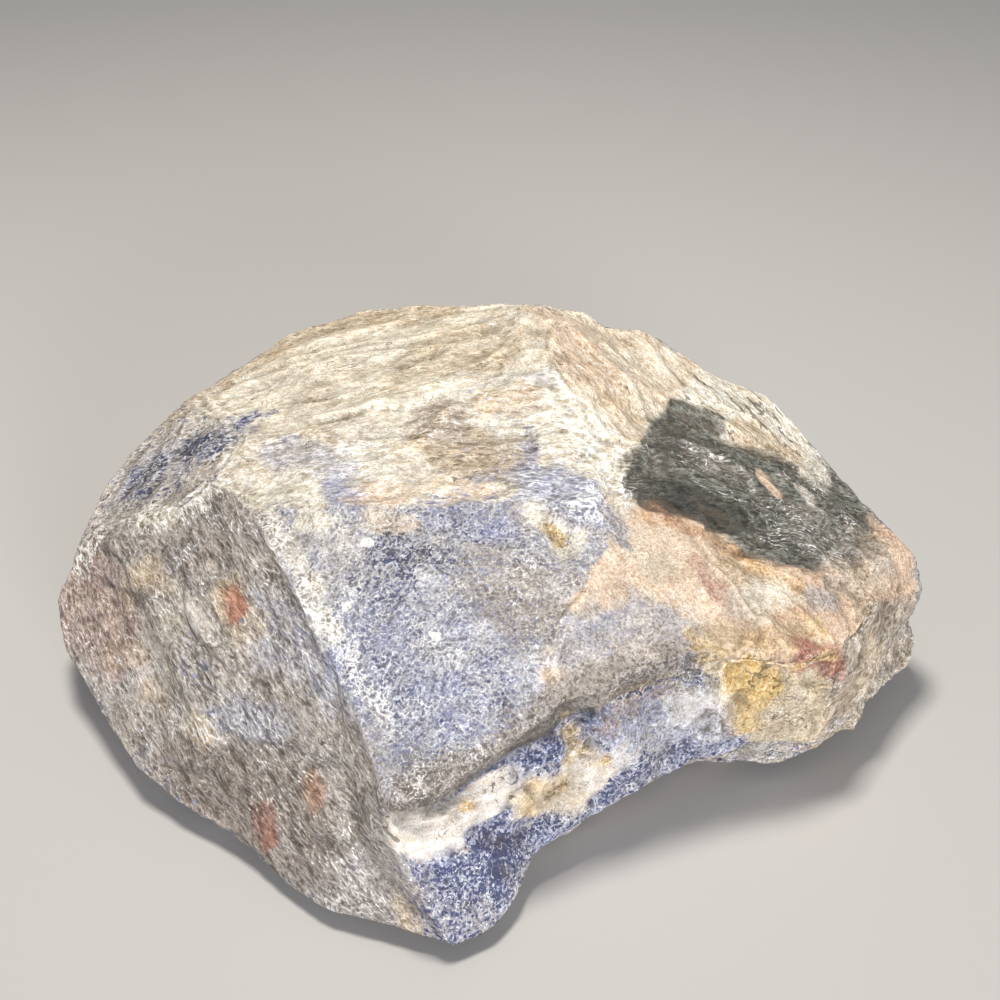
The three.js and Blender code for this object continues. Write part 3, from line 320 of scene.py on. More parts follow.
# Stains, veins and patches: each runs along its own line, as wide as its width in mm. Its films
# cover what is there; its grains are added, or taken away where they are minus.
patches = [
    ("mauveTip", 12, [(-115, 7, 27), (-99, -12, 28)], dict(mauve=0.8)),
    ("leftLow", 13, [(-76, -52, 14), (-60, -64, 14), (-45, -74, 16)], dict(umber=0.75)),
    ("leftBlue", 4.5, [(-76, -30, 36), (-71, -38, 33), (-67, -46, 29)],
     dict(steel=0.8, blue=0.08, deep=0.03, fleck=0.06)),
    ("leftLowBlue", 5, [(-62, -48, 31), (-50, -54, 33)], dict(steel=0.6, blue=0.06, fleck=0.04)),
    ("leftBlueDot", 2.5, [(-89, -24, 28), (-86, -27, 28)], dict(lilac=0.3, blue=0.1)),
    ("leftWhite", 3.2, [(-78, -39, 23), (-72, -46, 26), (-68, -49, 26)],
     dict(milk=0.35, steel=0.25, white=0.22)),
    ("benchStain", 4, [(-97, -1, 39), (-83, -15, 40)], dict(tan=0.55)),
    ("benchStainLow", 3.5, [(-88, -30, 24), (-71, -48, 25)], dict(tan=0.4)),
    # Dark lines along the foot of each step on the left face: brown film and painted shade, the shadow that
    # each step casts.
    ("leftStepFoot", 0.9, marks["leftStep"][-1], dict(umber=0.5, paintedShade=0.3)),
    ("leftStepFootUpper", 0.8, marks["leftStepUpper"][-1], dict(umber=0.5, paintedShade=0.2)),
    ("leftStepFootLow", 0.8, marks["leftStepLow"][-1], dict(umber=0.5, paintedShade=0.2)),
    ("leftMiddle", 13, [(-83, -22, 36), (-72, -35, 34)], dict(grey=0.8, cream=0.1)),
    ("leftSteel", 8, [(-58, -30, 46), (-46, -40, 48), (-37, -54, 45)], dict(steel=0.5, blue=0.03)),
    ("leftTan", 5.5, [(-97, -6, 36), (-90, -6, 41)], dict(tan=0.5)),
    ("leftTanLow", 4, [(-99, -17, 26), (-93, -20, 28)], dict(tan=0.3, mauve=0.2)),
    ("rustSpotRing", 5.5, [(-65, -22, 47), (-60, -31, 45)], dict(tan=0.55)),
    ("rustSpot", 3, [(-65, -22, 47), (-63, -27, 46)], dict(rust=0.65, white=-0.04, blue=-0.05)),
    ("lowRustRight", 3, [(-42, -66, 28), (-41, -70, 26)], dict(rust=0.4, ochre=0.2, white=-0.03)),
    ("lowRustLeft", 3.2, [(-55, -66, 15), (-53, -70, 12)], dict(rust=0.45, mauve=0.2, white=-0.04)),
    ("leftEdge", 5, [(-118, 12, 31), (-104, 24, 41)], dict(cream=0.4, white=0.15)),
    ("streakWhite", 4, [(-96, 14, 48), (-84, 6, 53), (-72, 4, 63)], dict(cream=0.7, white=0.25)),
    ("shoulderBlue", 8, [(-99, 31, 48), (-84, 26, 57), (-70, 26, 66)],
     dict(steel=0.5, deep=0.06, blue=0.1)),
    ("shoulderNavy", 5.5, [(-82, 30, 59), (-77, 22, 63)], dict(lilac=0.6, deep=0.5, fleck=0.3, white=0.08)),
    ("shoulderNavyLeft", 4.5, [(-101, 30, 47), (-95, 31, 50)],
     dict(lilac=0.6, deep=0.35, fleck=0.2, white=0.05)),
    ("shoulderNavyStreak", 2.4, [(-69, 28, 67), (-61, 30, 70)], dict(lilac=0.6, deep=0.35, fleck=0.1)),
    ("ridgeWhite", 2.4, [(-58, -8, 64), (-43, -31, 58), (-32, -51, 49), (-23, -68, 42)],
     dict(cream=0.4, grey=0.2, white=0.18, blue=-0.15)),
    ("blueTopVein", 5.5, [(-16, -17, 70), (2, -23, 68)], dict(lilac=0.5, blue=0.15, deep=0.06)),
    ("navyGrains", 4, [(-26, -24, 65), (-20, -30, 64)], dict(lilac=0.3, deep=0.36, fleck=0.2)),
    ("navyGrainsRight", 2.6, [(-15, -29, 65), (-10, -30, 65)], dict(lilac=0.3, deep=0.36, fleck=0.2)),
    ("navyGrainsLow", 4.5, [(-30, -31, 61), (-21, -36, 60)], dict(deep=0.15, fleck=0.08)),
    ("blueLow", 9, [(-28, -50, 51), (-16, -65, 45), (-3, -62, 51)], dict(lilac=0.6, blue=0.14, deep=0.03)),
    ("blueMiddle", 7, [(-28, -40, 58), (-8, -45, 58), (2, -50, 57)], dict(lilac=0.3, blue=0.06)),
    ("blueRight", 8, [(0, -34, 64), (7, -42, 61), (11, -47, 59)], dict(grey=0.5, umber=0.2)),
    ("whiteSpecks", 1.2, [(-31, -23, 65), (-29, -23, 65)], dict(milk=0.9, white=1)),
    ("whiteSpeckLeft", 1, [(-33, -36, 57), (-32, -36, 57)], dict(cream=0.5, white=1)),
    ("whiteSpeckMiddle", 0.9, [(-14, -49, 56), (-12, -49, 56)], dict(cream=0.5, white=1)),
    ("whiteSpeckLow", 0.9, [(-8, -63, 50), (-6, -63, 50)], dict(cream=0.5, white=1)),
    ("creamKnot", 5.5, [(14, -15, 71), (19, -24, 67)], dict(cream=0.85, blue=-0.25)),
    ("creamKnotPits", 2, [(14, -21, 68), (17, -25, 66)], dict(ochre=0.9, fleck=0.25)),
    ("paleQuartz", 5, [(25, -17, 70), (31, -19, 67)], dict(steel=0.6, grey=0.25, white=0.08)),
    ("bandBlue", 6, [(-54, 9, 70), (-47, 5, 71), (-40, 0, 72)], dict(steel=0.5, lilac=0.15, blue=0.05)),
    ("bandBrown", 9, [(-14, 8, 78), (-7, 2, 76), (1, -4, 75)], dict(tan=0.55, umber=0.35, fleck=0.06)),
    ("bandFoot", 3.5, [(-28, -17, 67), (-20, -19, 67)], dict(cream=0.4, pink=0.2, tan=0.1, blue=-0.1)),
    ("bandFootLeft", 3, [(-46, -14, 65), (-41, -16, 66)], dict(cream=0.7, blue=-0.1)),
    ("bandFootBlue", 4, [(-39, -8, 70), (-33, -11, 70)], dict(steel=0.6, lilac=0.15, blue=0.06)),
    ("bandFootRight", 4, [(-6, -13, 72), (-2, -9, 73)], dict(steel=0.6, lilac=0.15, blue=0.06)),
    ("bandTan", 4.5, [(-12, 0, 74), (2, -5, 74)], dict(tan=0.55, umber=0.3, white=-0.03)),
    ("bandPeach", 4.5, [(-33, -9, 70), (-5, -12, 72)], dict(pink=0.4, tan=0.2)),
    ("bandDarkSpots", 2.4, [(9, 9, 78), (9, 3, 77), (10, -5, 74)], dict(lilac=0.5, deep=0.1, fleck=0.06)),
    ("bandGrey", 6.5, [(11, -9, 74), (17, -12, 73), (22, -16, 71)],
     dict(steel=0.6, lilac=0.2, white=0.08, blue=0.1)),
    ("crestStain", 4.5, [(-1, 18, 82), (8, 19, 82)], dict(pink=0.45, ochre=0.1)),
    ("backEdge", 9, [(-92, 54, 58), (-61, 79, 69), (-40, 81, 74), (-16, 78, 79)], dict(tan=0.7, umber=0.1)),
    ("backRight", 13, [(-12, 52, 80), (-2, 40, 84)], dict(tan=0.6, umber=0.1)),
    ("eastPink", 9, [(22, 45, 82), (33, 25, 77)], dict(pink=0.5, tan=0.2)),
    ("eastWhite", 8, [(60, 42, 69), (76, 38, 64), (88, 26, 58)], dict(cream=0.8, white=0.1, shadowCracked=0.6)),
    ("eastFoot", 6.5, [(24, 10, 78), (29, -1, 73), (33, -7, 68)], dict(cream=0.9, white=0.2)),
    ("slabTop", 4.6, [(61, 28, 68), (53, 32, 70), (46, 15, 72), (38, -3, 69)],
     dict(slab=0.95, fleck=0.25, white=-0.1, shadowCracked=-1)),
    ("slabSpecks", 6, [(40, 12, 72), (52, 8, 69), (64, 6, 63)], dict(grey=0.12, white=0.02, veined=0.4)),
    ("slabSpecksRight", 8, [(76, 2, 57), (86, -6, 51), (92, 4, 51)],
     dict(grey=0.25, white=0.03, veined=0.3)),
    ("slabWave", 1.2, marks["slabLip"][-1], dict(grey=0.5, white=0.3)),
    ("slabWaveRight", 1.2, [(76, 16, 60), (79, 15, 59), (85, 9, 56)], dict(grey=0.5, white=0.3)),
    ("slabShade", 5, [(42, -5, 67), (51, -5, 65), (62, -8, 61)],
     dict(paintedShade=0.8, fleck=-0.25, white=-0.05, veined=-0.4)),
    ("slabLens", 5.5, [(70, 27, 66), (83, 27, 61)], dict(tan=0.85, fleck=-0.25)),
    ("slabInclusion", 2.3, [(72, 12, 61), (76, 8, 59)], dict(pink=0.7, cream=0.3, fleck=-0.3)),
    ("slabInclusionSmall", 2.2, [(83, 12, 57), (85, 10, 56)], dict(cream=0.8, fleck=-0.3)),
    ("slabFringe", 2.8, [(41, -10, 66), (48, -11, 62), (58, -15, 57), (66, -20, 54), (76, -22, 51)],
     dict(ochre=0.26, rust=0.2, fleck=0.05)),
    ("bowlGrey", 9, [(22, -52, 54), (33, -47, 55), (44, -46, 53)],
     dict(grey=0.45, steel=0.4, fleck=0.04, blue=0.05)),
    ("slopeRose", 3, [(51, -23, 59), (58, -32, 54), (65, -40, 49), (74, -41, 45)],
     dict(rust=0.4, mauve=0.2)),
    ("slopeOchre", 4, [(50, -45, 51), (59, -40, 50), (69, -42, 48), (80, -33, 48)],
     dict(ochre=0.35, tan=0.2)),
    ("slopeGrey", 4, [(84, -23, 46), (81, -24, 48)], dict(lilac=0.1, grey=0.5)),
    ("slopeEnd", 8, [(92, -14, 47), (100, -2, 46)], dict(tan=0.3, grey=0.4, fleck=0.05)),
    ("slopePale", 6, [(70, -26, 53), (64, -32, 53)], dict(cream=0.6)),
    ("brickPatch", 4.6, [(77, -42, 43), (81, -40, 40), (84, -38, 38)],
     dict(rust=0.6, mauve=0.3, white=0.03)),
    ("ledgeStain", 1.8, [(49, -49, 50), (59, -46, 48), (74, -43, 43), (84, -38, 41)],
     dict(ochre=0.4, umber=0.4, fleck=0.15)),
    ("ochrePatch", 5.5, [(60, -46, 43), (66, -45, 37)], dict(ochre=1, fleck=-0.04, shadowCracked=0.5)),
    ("ochreTan", 6, [(48, -48, 36), (54, -46, 31), (60, -45, 27)],
     dict(tan=0.6, cream=0.2, deep=-0.2, blue=-0.2)),
    ("ochreDrip", 4, [(66, -45, 33), (64, -44, 26)], dict(ochre=0.7)),
    ("creamLens", 4.8, [(-20, -84, 29), (-7, -79, 29), (4, -72, 31)],
     dict(milk=0.9, pink=0.1, deep=-0.5, blue=-0.6, fleck=-0.2, shadowCracked=1.2, veined=-1)),
    ("creamLensLow", 3.5, [(-16, -86, 26), (-9, -83, 25)],
     dict(milk=0.9, deep=-0.4, blue=-0.5, fleck=-0.1)),
    ("lensSpot", 1.6, [(-6, -78, 31), (-4, -77, 31)], dict(ochre=0.7, rust=0.2)),
    ("lensSpotLow", 1.4, [(-7, -83, 25), (-7, -84, 22)], dict(ochre=0.7)),
    ("cleftCream", 5.5, [(9, -71, 26), (14, -66, 22), (20, -64, 21), (23, -61, 25)],
     dict(milk=0.64, ochre=0.28, deep=-0.4, blue=-0.4, fleck=-0.1, shadowCracked=1, veined=-0.5)),
    ("cleftOchre", 1.3, [(14, -67, 22), (18, -64, 24), (22, -61, 27)],
     dict(ochre=0.4, umber=0.5, fleck=0.1)),
    ("cleftStreak", 2, [(25, -61, 25), (29, -60, 30), (32, -58, 33)],
     dict(ochre=0.5, tan=0.4, deep=-0.3, blue=-0.2)),
    ("deepBlue", 6.5, [(-6, -87, 17), (0, -82, 20), (4, -81, 12)], dict(lilac=0.6, deep=0.6)),
    ("deepBlueLeft", 3.5, [(-13, -88, 22), (-9, -88, 19)], dict(lilac=0.5, deep=0.25)),
    ("deepBlueTop", 4, [(7, -70, 33), (15, -65, 34)], dict(lilac=0.7, deep=0.4)),
    ("deepBlueRight", 5, [(17, -67, 16), (35, -57, 16)], dict(deep=0.15)),
    ("toeBlue", 5, [(-14, -91, 14), (-10, -92, 8)], dict(lilac=0.3, deep=0.1, blue=0.1)),
    ("toeTan", 3, [(-20, -89, 12), (-17, -92, 6)], dict(tan=0.5)),
    ("cliffPale", 8, [(32, -57, 32), (50, -49, 32)],
     dict(steel=0.7, milk=0.2, deep=-0.22, blue=-0.05, fleck=-0.06)),
    ("cleftBrown", 2.6, [(18, -62, 43), (19, -61, 36), (20, -60, 29)],
     dict(tan=0.45, ochre=0.35, umber=0.1, deep=-0.3, blue=-0.3, fleck=0.06)),
    # Painted shade in the deep end of the cleft, over brown film.
    ("cleftDark", 1.2, [(14, -64, 42), (15, -63, 37)], dict(umber=0.5, paintedShade=0.35)),
    ("lipMauve", 3, [(26, -60, 38), (36, -56, 42), (44, -52, 43)],
     dict(mauve=0.35, grey=0.45, deep=-0.2, blue=-0.1)),
    ("lipShade", 2.4, corners["sill"][:6], dict(paintedShade=0.5, white=-0.05)),
    ("lipGrey", 5.5, [(-20, -84, 38), (-2, -76, 42), (16, -65, 49), (39, -54, 52)],
     dict(umber=0.62, grey=0.2, fleck=0.08, blue=-0.08)),
    ("wallBlue", 11, [(-46, 86, 52), (-28, 84, 40), (-10, 82, 30)], dict(lilac=0.5, deep=0.15, blue=0.08)),
    ("tipTan", 9, [(116, 0, 16), (112, -9, 14), (102, -19, 11), (90, -31, 11)],
     dict(tan=0.5, umber=0.3, blue=-0.2, deep=-0.2)),
    ("wallTan", 12, [(26, 76, 62), (52, 66, 44), (70, 52, 30)], dict(tan=0.6, ochre=0.1)),
    ("wallPale", 9, [(-84, 60, 44), (-66, 70, 26)], dict(cream=0.6, white=0.1)),
    ("ledgeBrown", 2.5, [(26, -60, 45), (37, -55, 46), (48, -50, 47)], dict(tan=0.6, fleck=0.08)),
]

# Patches that end sharply, at a break between two minerals; the others fade.
crispPatches = ("slabTop", "slabShade", "slabInclusion", "slabInclusionSmall", "creamLens", "creamLensLow",
                "whiteSpecks", "ochrePatch")


# Even random value from 0 to 1 for whole-number places: each number times its own large odd number,
# all joined by exclusive or, then twice shifted, joined and multiplied again.
def randomAt(place, seed):
    with np.errstate(over="ignore"):
        x, y, z = (place[:, k].astype(np.int64).astype(np.uint32) for k in range(3))
        h = x * np.uint32(0x8DA6B343) ^ y * np.uint32(0xD8163841) ^ z * np.uint32(0xCB1AB31F)
        h ^= np.uint32(seed * 0x9E3779B1 & 0xFFFFFFFF)
        h = (h ^ (h >> np.uint32(15))) * np.uint32(0x2C1B3C6D)
        h = (h ^ (h >> np.uint32(12))) * np.uint32(0x297A2D39)
    return (h ^ (h >> np.uint32(15))) / 2**32


# Smooth noise from -1 to 1: random values at whole-number places, eased from one to the next
# by 6f^5 - 15f^4 + 10f^3.
def noiseAt(p, seed):
    base = np.floor(p)
    f = p - base
    ease = f**3 * (f * (f * 6 - 15) + 10)
    total = 0
    for step in np.ndindex(2, 2, 2):
        weight = np.prod(np.where(step, ease, 1 - ease), axis=1)
        total = total + weight * randomAt(base + step, seed)
    return total * 2 - 1


# Layers of noise, scaled back to -1 to 1: each layer is so many times as fine and as strong as the
# last, and starts a shift away, so that the layers don't line up. Every noise has its own seed.
finer = 2.03
weaker = 0.5
shift = 17.3


def lumpsAt(p, seed, layers=3):
    strengths = [weaker**layer for layer in range(layers)]
    parts = [s * noiseAt(p * finer**i + i * shift, seed + i) for i, s in enumerate(strengths)]
    return sum(parts) / sum(strengths)


# The nearest of the points strewn one to a unit cell: the square of how far off it is, the way
# back from it, and the cell that it lies in.
def nearestStrewn(p, seed):
    base = np.floor(p)
    square = np.full(len(p), np.inf)
    away = np.zeros_like(p)
    home = base.copy()
    for step in np.ndindex(3, 3, 3):
        cell = base + step - 1
        offset = np.stack([randomAt(cell, seed + k) for k in range(3)], 1)
        back = p - cell - offset
        squareHere = (back * back).sum(1)
        closer = squareHere < square
        square[closer] = squareHere[closer]
        away[closer] = back[closer]
        home[closer] = cell[closer]
    return square, away, home


# Hollow scars: a bowl (distance squared) round each strewn point, with a sharp edge between bowls.
def scarsAt(p, seed):
    return np.minimum(nearestStrewn(p, seed)[0], 1) - stone["scarMean"]


# Chips: a plane round each strewn point, tilted its own random way, with a step where two meet.
def chipsAt(p, seed):
    away, home = nearestStrewn(p, seed)[1:]
    tilt = np.stack([randomAt(home, seed + k) * 2 - 1 for k in (3, 4, 5)], 1)
    return (away * tilt).sum(1)


# Ledges: a smooth field counted in whole steps. Within a step the height climbs steeply over the
# riser's share and falls back gently over the tread.
def ledgesAt(p, seed):
    field = stone["ledgeSteps"] * lumpsAt(p, seed, layers=2)
    tread = field - np.floor(field)
    riser = stone["riser"]
    return np.where(tread < riser, tread / riser, (1 - tread) / (1 - riser)) - 0.5


# Crests: sharp where smooth noise passes nothing, 1 - steepness * |noise|, with the noise in two
# layers.
def crestsAt(p, seed):
    folds = np.abs(noiseAt(p, seed)) + weaker * np.abs(noiseAt(p * finer + shift, seed + 1))
    return 1 - stone["crestSteepness"] * folds / (1 + weaker)


# How far each point is from a run of straight lines, and the closest place on it.
def closestOnLine(p, line):
    line = np.array(line, float)
    distance = np.full(len(p), np.inf)
    place = np.zeros_like(p)
    for start, end in zip(line[:-1], line[1:]):
        along = end - start
        share = np.clip((p - start) @ along / (along @ along), 0, 1)
        here = start + share[:, None] * along
        distanceHere = np.linalg.norm(p - here, axis=1)
        closer = distanceHere < distance
        distance[closer] = distanceHere[closer]
        place[closer] = here[closer]
    return distance, place


# Each vector over its own length.
def unit(v):
    return v / np.linalg.norm(v, axis=-1, keepdims=True)


# Triangles of the block: a fan round the swollen middle of each face, then the sides and the foot.
def blockTriangles():
    heart = np.array(stone["heart"], float)
    place = {edge + str(i): np.array(c, float) for edge, run in corners.items() for i, c in enumerate(run)}
    triangles = []
    for kind, swell, names in facets:
        ring = np.array([place[name] for name in names.split()])
        if len(ring) == 3:
            triangles.append((kind, ring))
            continue
        after = np.roll(ring, -1, axis=0)
        middle = ring.mean(0)
        out = unit(np.cross(ring - middle, after - middle).sum(0))
        if out @ (middle - heart) < 0:
            out = -out
        hub = middle + swell * out
        triangles += [(kind, np.array([hub, a, b])) for a, b in zip(ring, after)]
    rim = np.array(corners["rim"], float)
    out = unit((rim - heart) * (1, 1, 0))
    push = np.maximum(belly["bulge"] * (rim[:, 2:] - belly["turnHeight"]), belly["mostDrawnIn"])
    bellyRing = (rim + out * push) * (1, 1, belly["height"])
    footRing = np.array(foot["centre"]) + out * foot["half"]
    for i in range(len(rim)):
        j = (i + 1) % len(rim)
        for kind, upper, lower in (("wall", rim, bellyRing), ("under", bellyRing, footRing)):
            triangles.append((kind, np.array([upper[i], upper[j], lower[j]])))
            triangles.append((kind, np.array([upper[i], lower[j], lower[i]])))
        triangles.append(("under", np.array([footRing[i], footRing[j], foot["middle"]])))
    return triangles


# The net: every whole-number place on the skin of a cube, and the square cells between them.
# The tangent of its angle keeps the cells even in angle, and the spread stretches the ray's way.
def cubeNet(cells):
    a, b = np.meshgrid(np.arange(cells + 1), np.arange(cells + 1), indexing="ij")
    quads = []
    for axis in range(3):
        for side in (0, cells):
            place = np.empty(a.shape + (3,), int)
            place[..., axis] = side
            place[..., (axis + 1) % 3] = a
            place[..., (axis + 2) % 3] = b
            key = (place @ ((cells + 1) ** 2, cells + 1, 1))
            quad = np.stack([key[:-1, :-1], key[1:, :-1], key[1:, 1:], key[:-1, 1:]], -1).reshape(-1, 4)
            quads.append(quad if side else quad[:, ::-1])
    keys, quads = np.unique(np.concatenate(quads), return_inverse=True)
    place = np.stack([keys // (cells + 1) ** 2, keys // (cells + 1) % (cells + 1), keys % (cells + 1)], -1)
    even = unit(np.tan(math.pi / 4 * (2 * place / cells - 1)))
    rays = unit((even + (0, 0, stone["netLift"])) * stone["netSpread"])
    return rays, quads.reshape(-1, 4)


# A ray is a mix of the three corners of the face that it meets, with no share below nothing, and
# it meets that face at one over the sum of the shares. The farthest face that it meets counts.
def castRays(rays):
    heart = np.array(stone["heart"], float)
    reach = np.zeros(len(rays))
    kind = np.zeros(len(rays), int)
    for name, triangle in blockTriangles():
        shares = rays @ np.linalg.inv((triangle - heart).T).T
        distance = 1 / np.maximum(shares.sum(1), tiny)
        met = (shares.min(1) >= -tiny) & (distance > reach) & (distance < stone["farthest"])
        reach[met] = distance[met]
        kind[met] = kinds.index(name)
    return heart + rays * reach[:, None], kind


# Each value moves half way to the mean of its neighbours along the sides of the cells.
def average(values, quads, rounds=1):
    start = quads.ravel()
    end = np.roll(quads, -1, axis=1).ravel()
    count = np.bincount(start, minlength=len(values))
    result = values.copy()
    for _ in range(rounds):
        for k in range(result.shape[1]):
            middle = np.bincount(start, result[end, k], len(values)) / count
            result[:, k] += (middle - result[:, k]) / 2
    return result


# Places of the net within reach of a sharp edge move onto it.
def drawToEdges(points, quads):
    start = quads.ravel()
    end = np.roll(quads, -1, axis=1).ravel()
    side = np.linalg.norm(points[start] - points[end], axis=1)
    cell = np.bincount(start, side, len(points)) / np.bincount(start, minlength=len(points))
    best = np.full(len(points), np.inf)
    target = points.copy()
    for line in sharpEdges:
        distance, place = closestOnLine(points, line)
        closer = distance < best
        best[closer] = distance[closer]
        target[closer] = place[closer]
    onEdge = best < stone["edgeReach"] * cell
    return np.where(onEdge[:, None], target, points), onEdge


# Each cell is parted along a sharp edge where one runs through it, and otherwise the short way.
def cellTriangles(points, quads, onEdge):
    a, b, c, d = quads.T
    edgeAC = onEdge[a] & onEdge[c]
    edgeBD = onEdge[b] & onEdge[d]
    lengthAC = np.linalg.norm(points[a] - points[c], axis=1)
    lengthBD = np.linalg.norm(points[b] - points[d], axis=1)
    partBD = np.where(edgeAC == edgeBD, ~edgeAC & (lengthBD < lengthAC), edgeBD)
    pairs = np.where(partBD[:, None], np.stack([b, c, d, b, d, a], 1), np.stack([a, b, c, a, c, d], 1))
    return pairs.reshape(-1, 3)


# Outward normal at each place: the sum of the cross products of its cells' diagonals.
def outwardNormals(points, quads):
    a, b, c, d = (points[quads[:, k]] for k in range(4))
    out = np.cross(c - a, d - b)
    total = [np.bincount(quads.ravel(), np.repeat(out[:, k], 4), len(points)) for k in range(3)]
    return unit(np.stack(total, 1))


# Height of a bank or furrow at each point: its rise times a bell curve of how far its line is. One
# with a side stands on that side alone, by a ramp as wide as the step.
def markHeight(p, width, rise, side, line):
    distance, place = closestOnLine(p, line)
    height = rise * np.exp(-(distance / width) ** 2)
    if side:
        past = (p - place) @ unit(np.array(side, float)) / stone["stepWidth"]
        height *= np.clip(0.5 + past, 0, 1)
    return height


# Layers of relief along the grain: which size of the face they follow and what share of it, their
# pattern, the mm between their marks, and their seed.
reliefLayers = [
    ("scar", 1, scarsAt, 17, 11),
    ("chip", 1, chipsAt, 13, 21),
    ("ledge", 1, ledgesAt, 24, 91),
    ("ledge", 0.5, ledgesAt, 9, 95),
    ("scar", 0.5, scarsAt, 7, 41),
    ("chip", 0.35, chipsAt, 4.6, 51),
    ("scar", 0.36, crestsAt, 4, 71),
]


# Height of the relief along the outward normal: flakes, lumps, the layers and the single marks,
# each as strong as the kinds of face have it, and weaker close to the rim. Points are squeezed
# along the grain, p - g(p.g)(1 - 1/long), so that the marks of the layers run long that way.
def reliefHeight(p, shares):
    grain = unit(shares @ unit(np.array([reliefs[kind][0] for kind in kinds])))
    sizes = np.array([reliefs[kind][1:] for kind in kinds], float)
    blend = {name: shares @ sizes[:, k] for k, name in enumerate(reliefSizes)}
    along = (p * grain).sum(1) * (1 - 1 / blend["long"])
    squeezed = p - grain * along[:, None]
    height = blend["flake"] * (scarsAt(p / stone["flakeSpacing"], 31) - stone["flakeSink"])
    height += blend["lump"] * lumpsAt(p / stone["lumpSpacing"], 1)
    for name, share, pattern, spacing, seed in reliefLayers:
        height += blend[name] * share * pattern(squeezed / spacing, seed)
    height += sum(markHeight(p, *mark) for mark in marks.values())
    rimDistance = closestOnLine(p, rimLoop)[0]
    return height * (1 - stone["rimCalmShare"] * np.exp(-(rimDistance / stone["rimCalmWidth"]) ** 2))


# The stone: rays cast onto the block, evened out by averaging and cast again, drawn to the sharp
# edges, worn a little, then raised along the normals by the relief. Nothing goes below the foot.
def stoneSurface():
    rays, quads = cubeNet(stone["cells"])
    rough = average(castRays(rays)[0], quads, rounds=stone["evenRounds"])
    points, kind = castRays(unit(rough - stone["heart"]))
    drawn, onEdge = drawToEdges(points, quads)
    shares = average(np.eye(len(kinds))[kind], quads, rounds=stone["borderRounds"])
    worn = average(drawn, quads, rounds=stone["wearRounds"])
    normals = outwardNormals(worn, quads)
    height = average(reliefHeight(worn, shares)[:, None], quads)
    points = worn + normals * height
    points[:, 2] = np.maximum(points[:, 2], 0)
    return points, quads, cellTriangles(points, quads, onEdge), shares, normals


# Points moved into the row's frame and drawn in evenly, so that they just fill the box of the CAD
# piece: (point - lowest) * (size of the box) / (size of the stone) + lowest of the box.
def fitToBox(points):
    low, high = (np.array(corner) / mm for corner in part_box("sodalite_rough"))
    low = low + (stone["skin"], stone["skin"], 0)
    high = high - stone["skin"]
    return (points - points.min(0)) * (high - low) / np.ptp(points, axis=0) + low


# sRGB hex to the linear values that nodes take: each part c, out of 255, is c / 12.92 where it is
# small, and ((c + 0.055) / 1.055)^2.4 from there up.
def linear(hexColour):
    parts = [int(hexColour[i:i + 2], 16) / 255 for i in (0, 2, 4)]
    return np.array([c / 12.92 if c <= 0.04045 else ((c + 0.055) / 1.055) ** 2.4 for c in parts] + [1])


# Adds one node with its settings; its inputs, in order or by name or number, are values, hex
# colours or other nodes' outputs. Gives back the output asked for.
def addNode(tree, kind, inputs=(), output=0, **settings):
    node = tree.nodes.new("ShaderNode" + kind)
    for name, value in settings.items():
        setattr(node, name, value)
    for name, value in (inputs.items() if isinstance(inputs, dict) else enumerate(inputs)):
        if isinstance(value, bpy.types.NodeSocket):
            tree.links.new(value, node.inputs[name])
        else:
            node.inputs[name].default_value = linear(value) if isinstance(value, str) else value
    return node.outputs[output] if len(node.outputs) else node


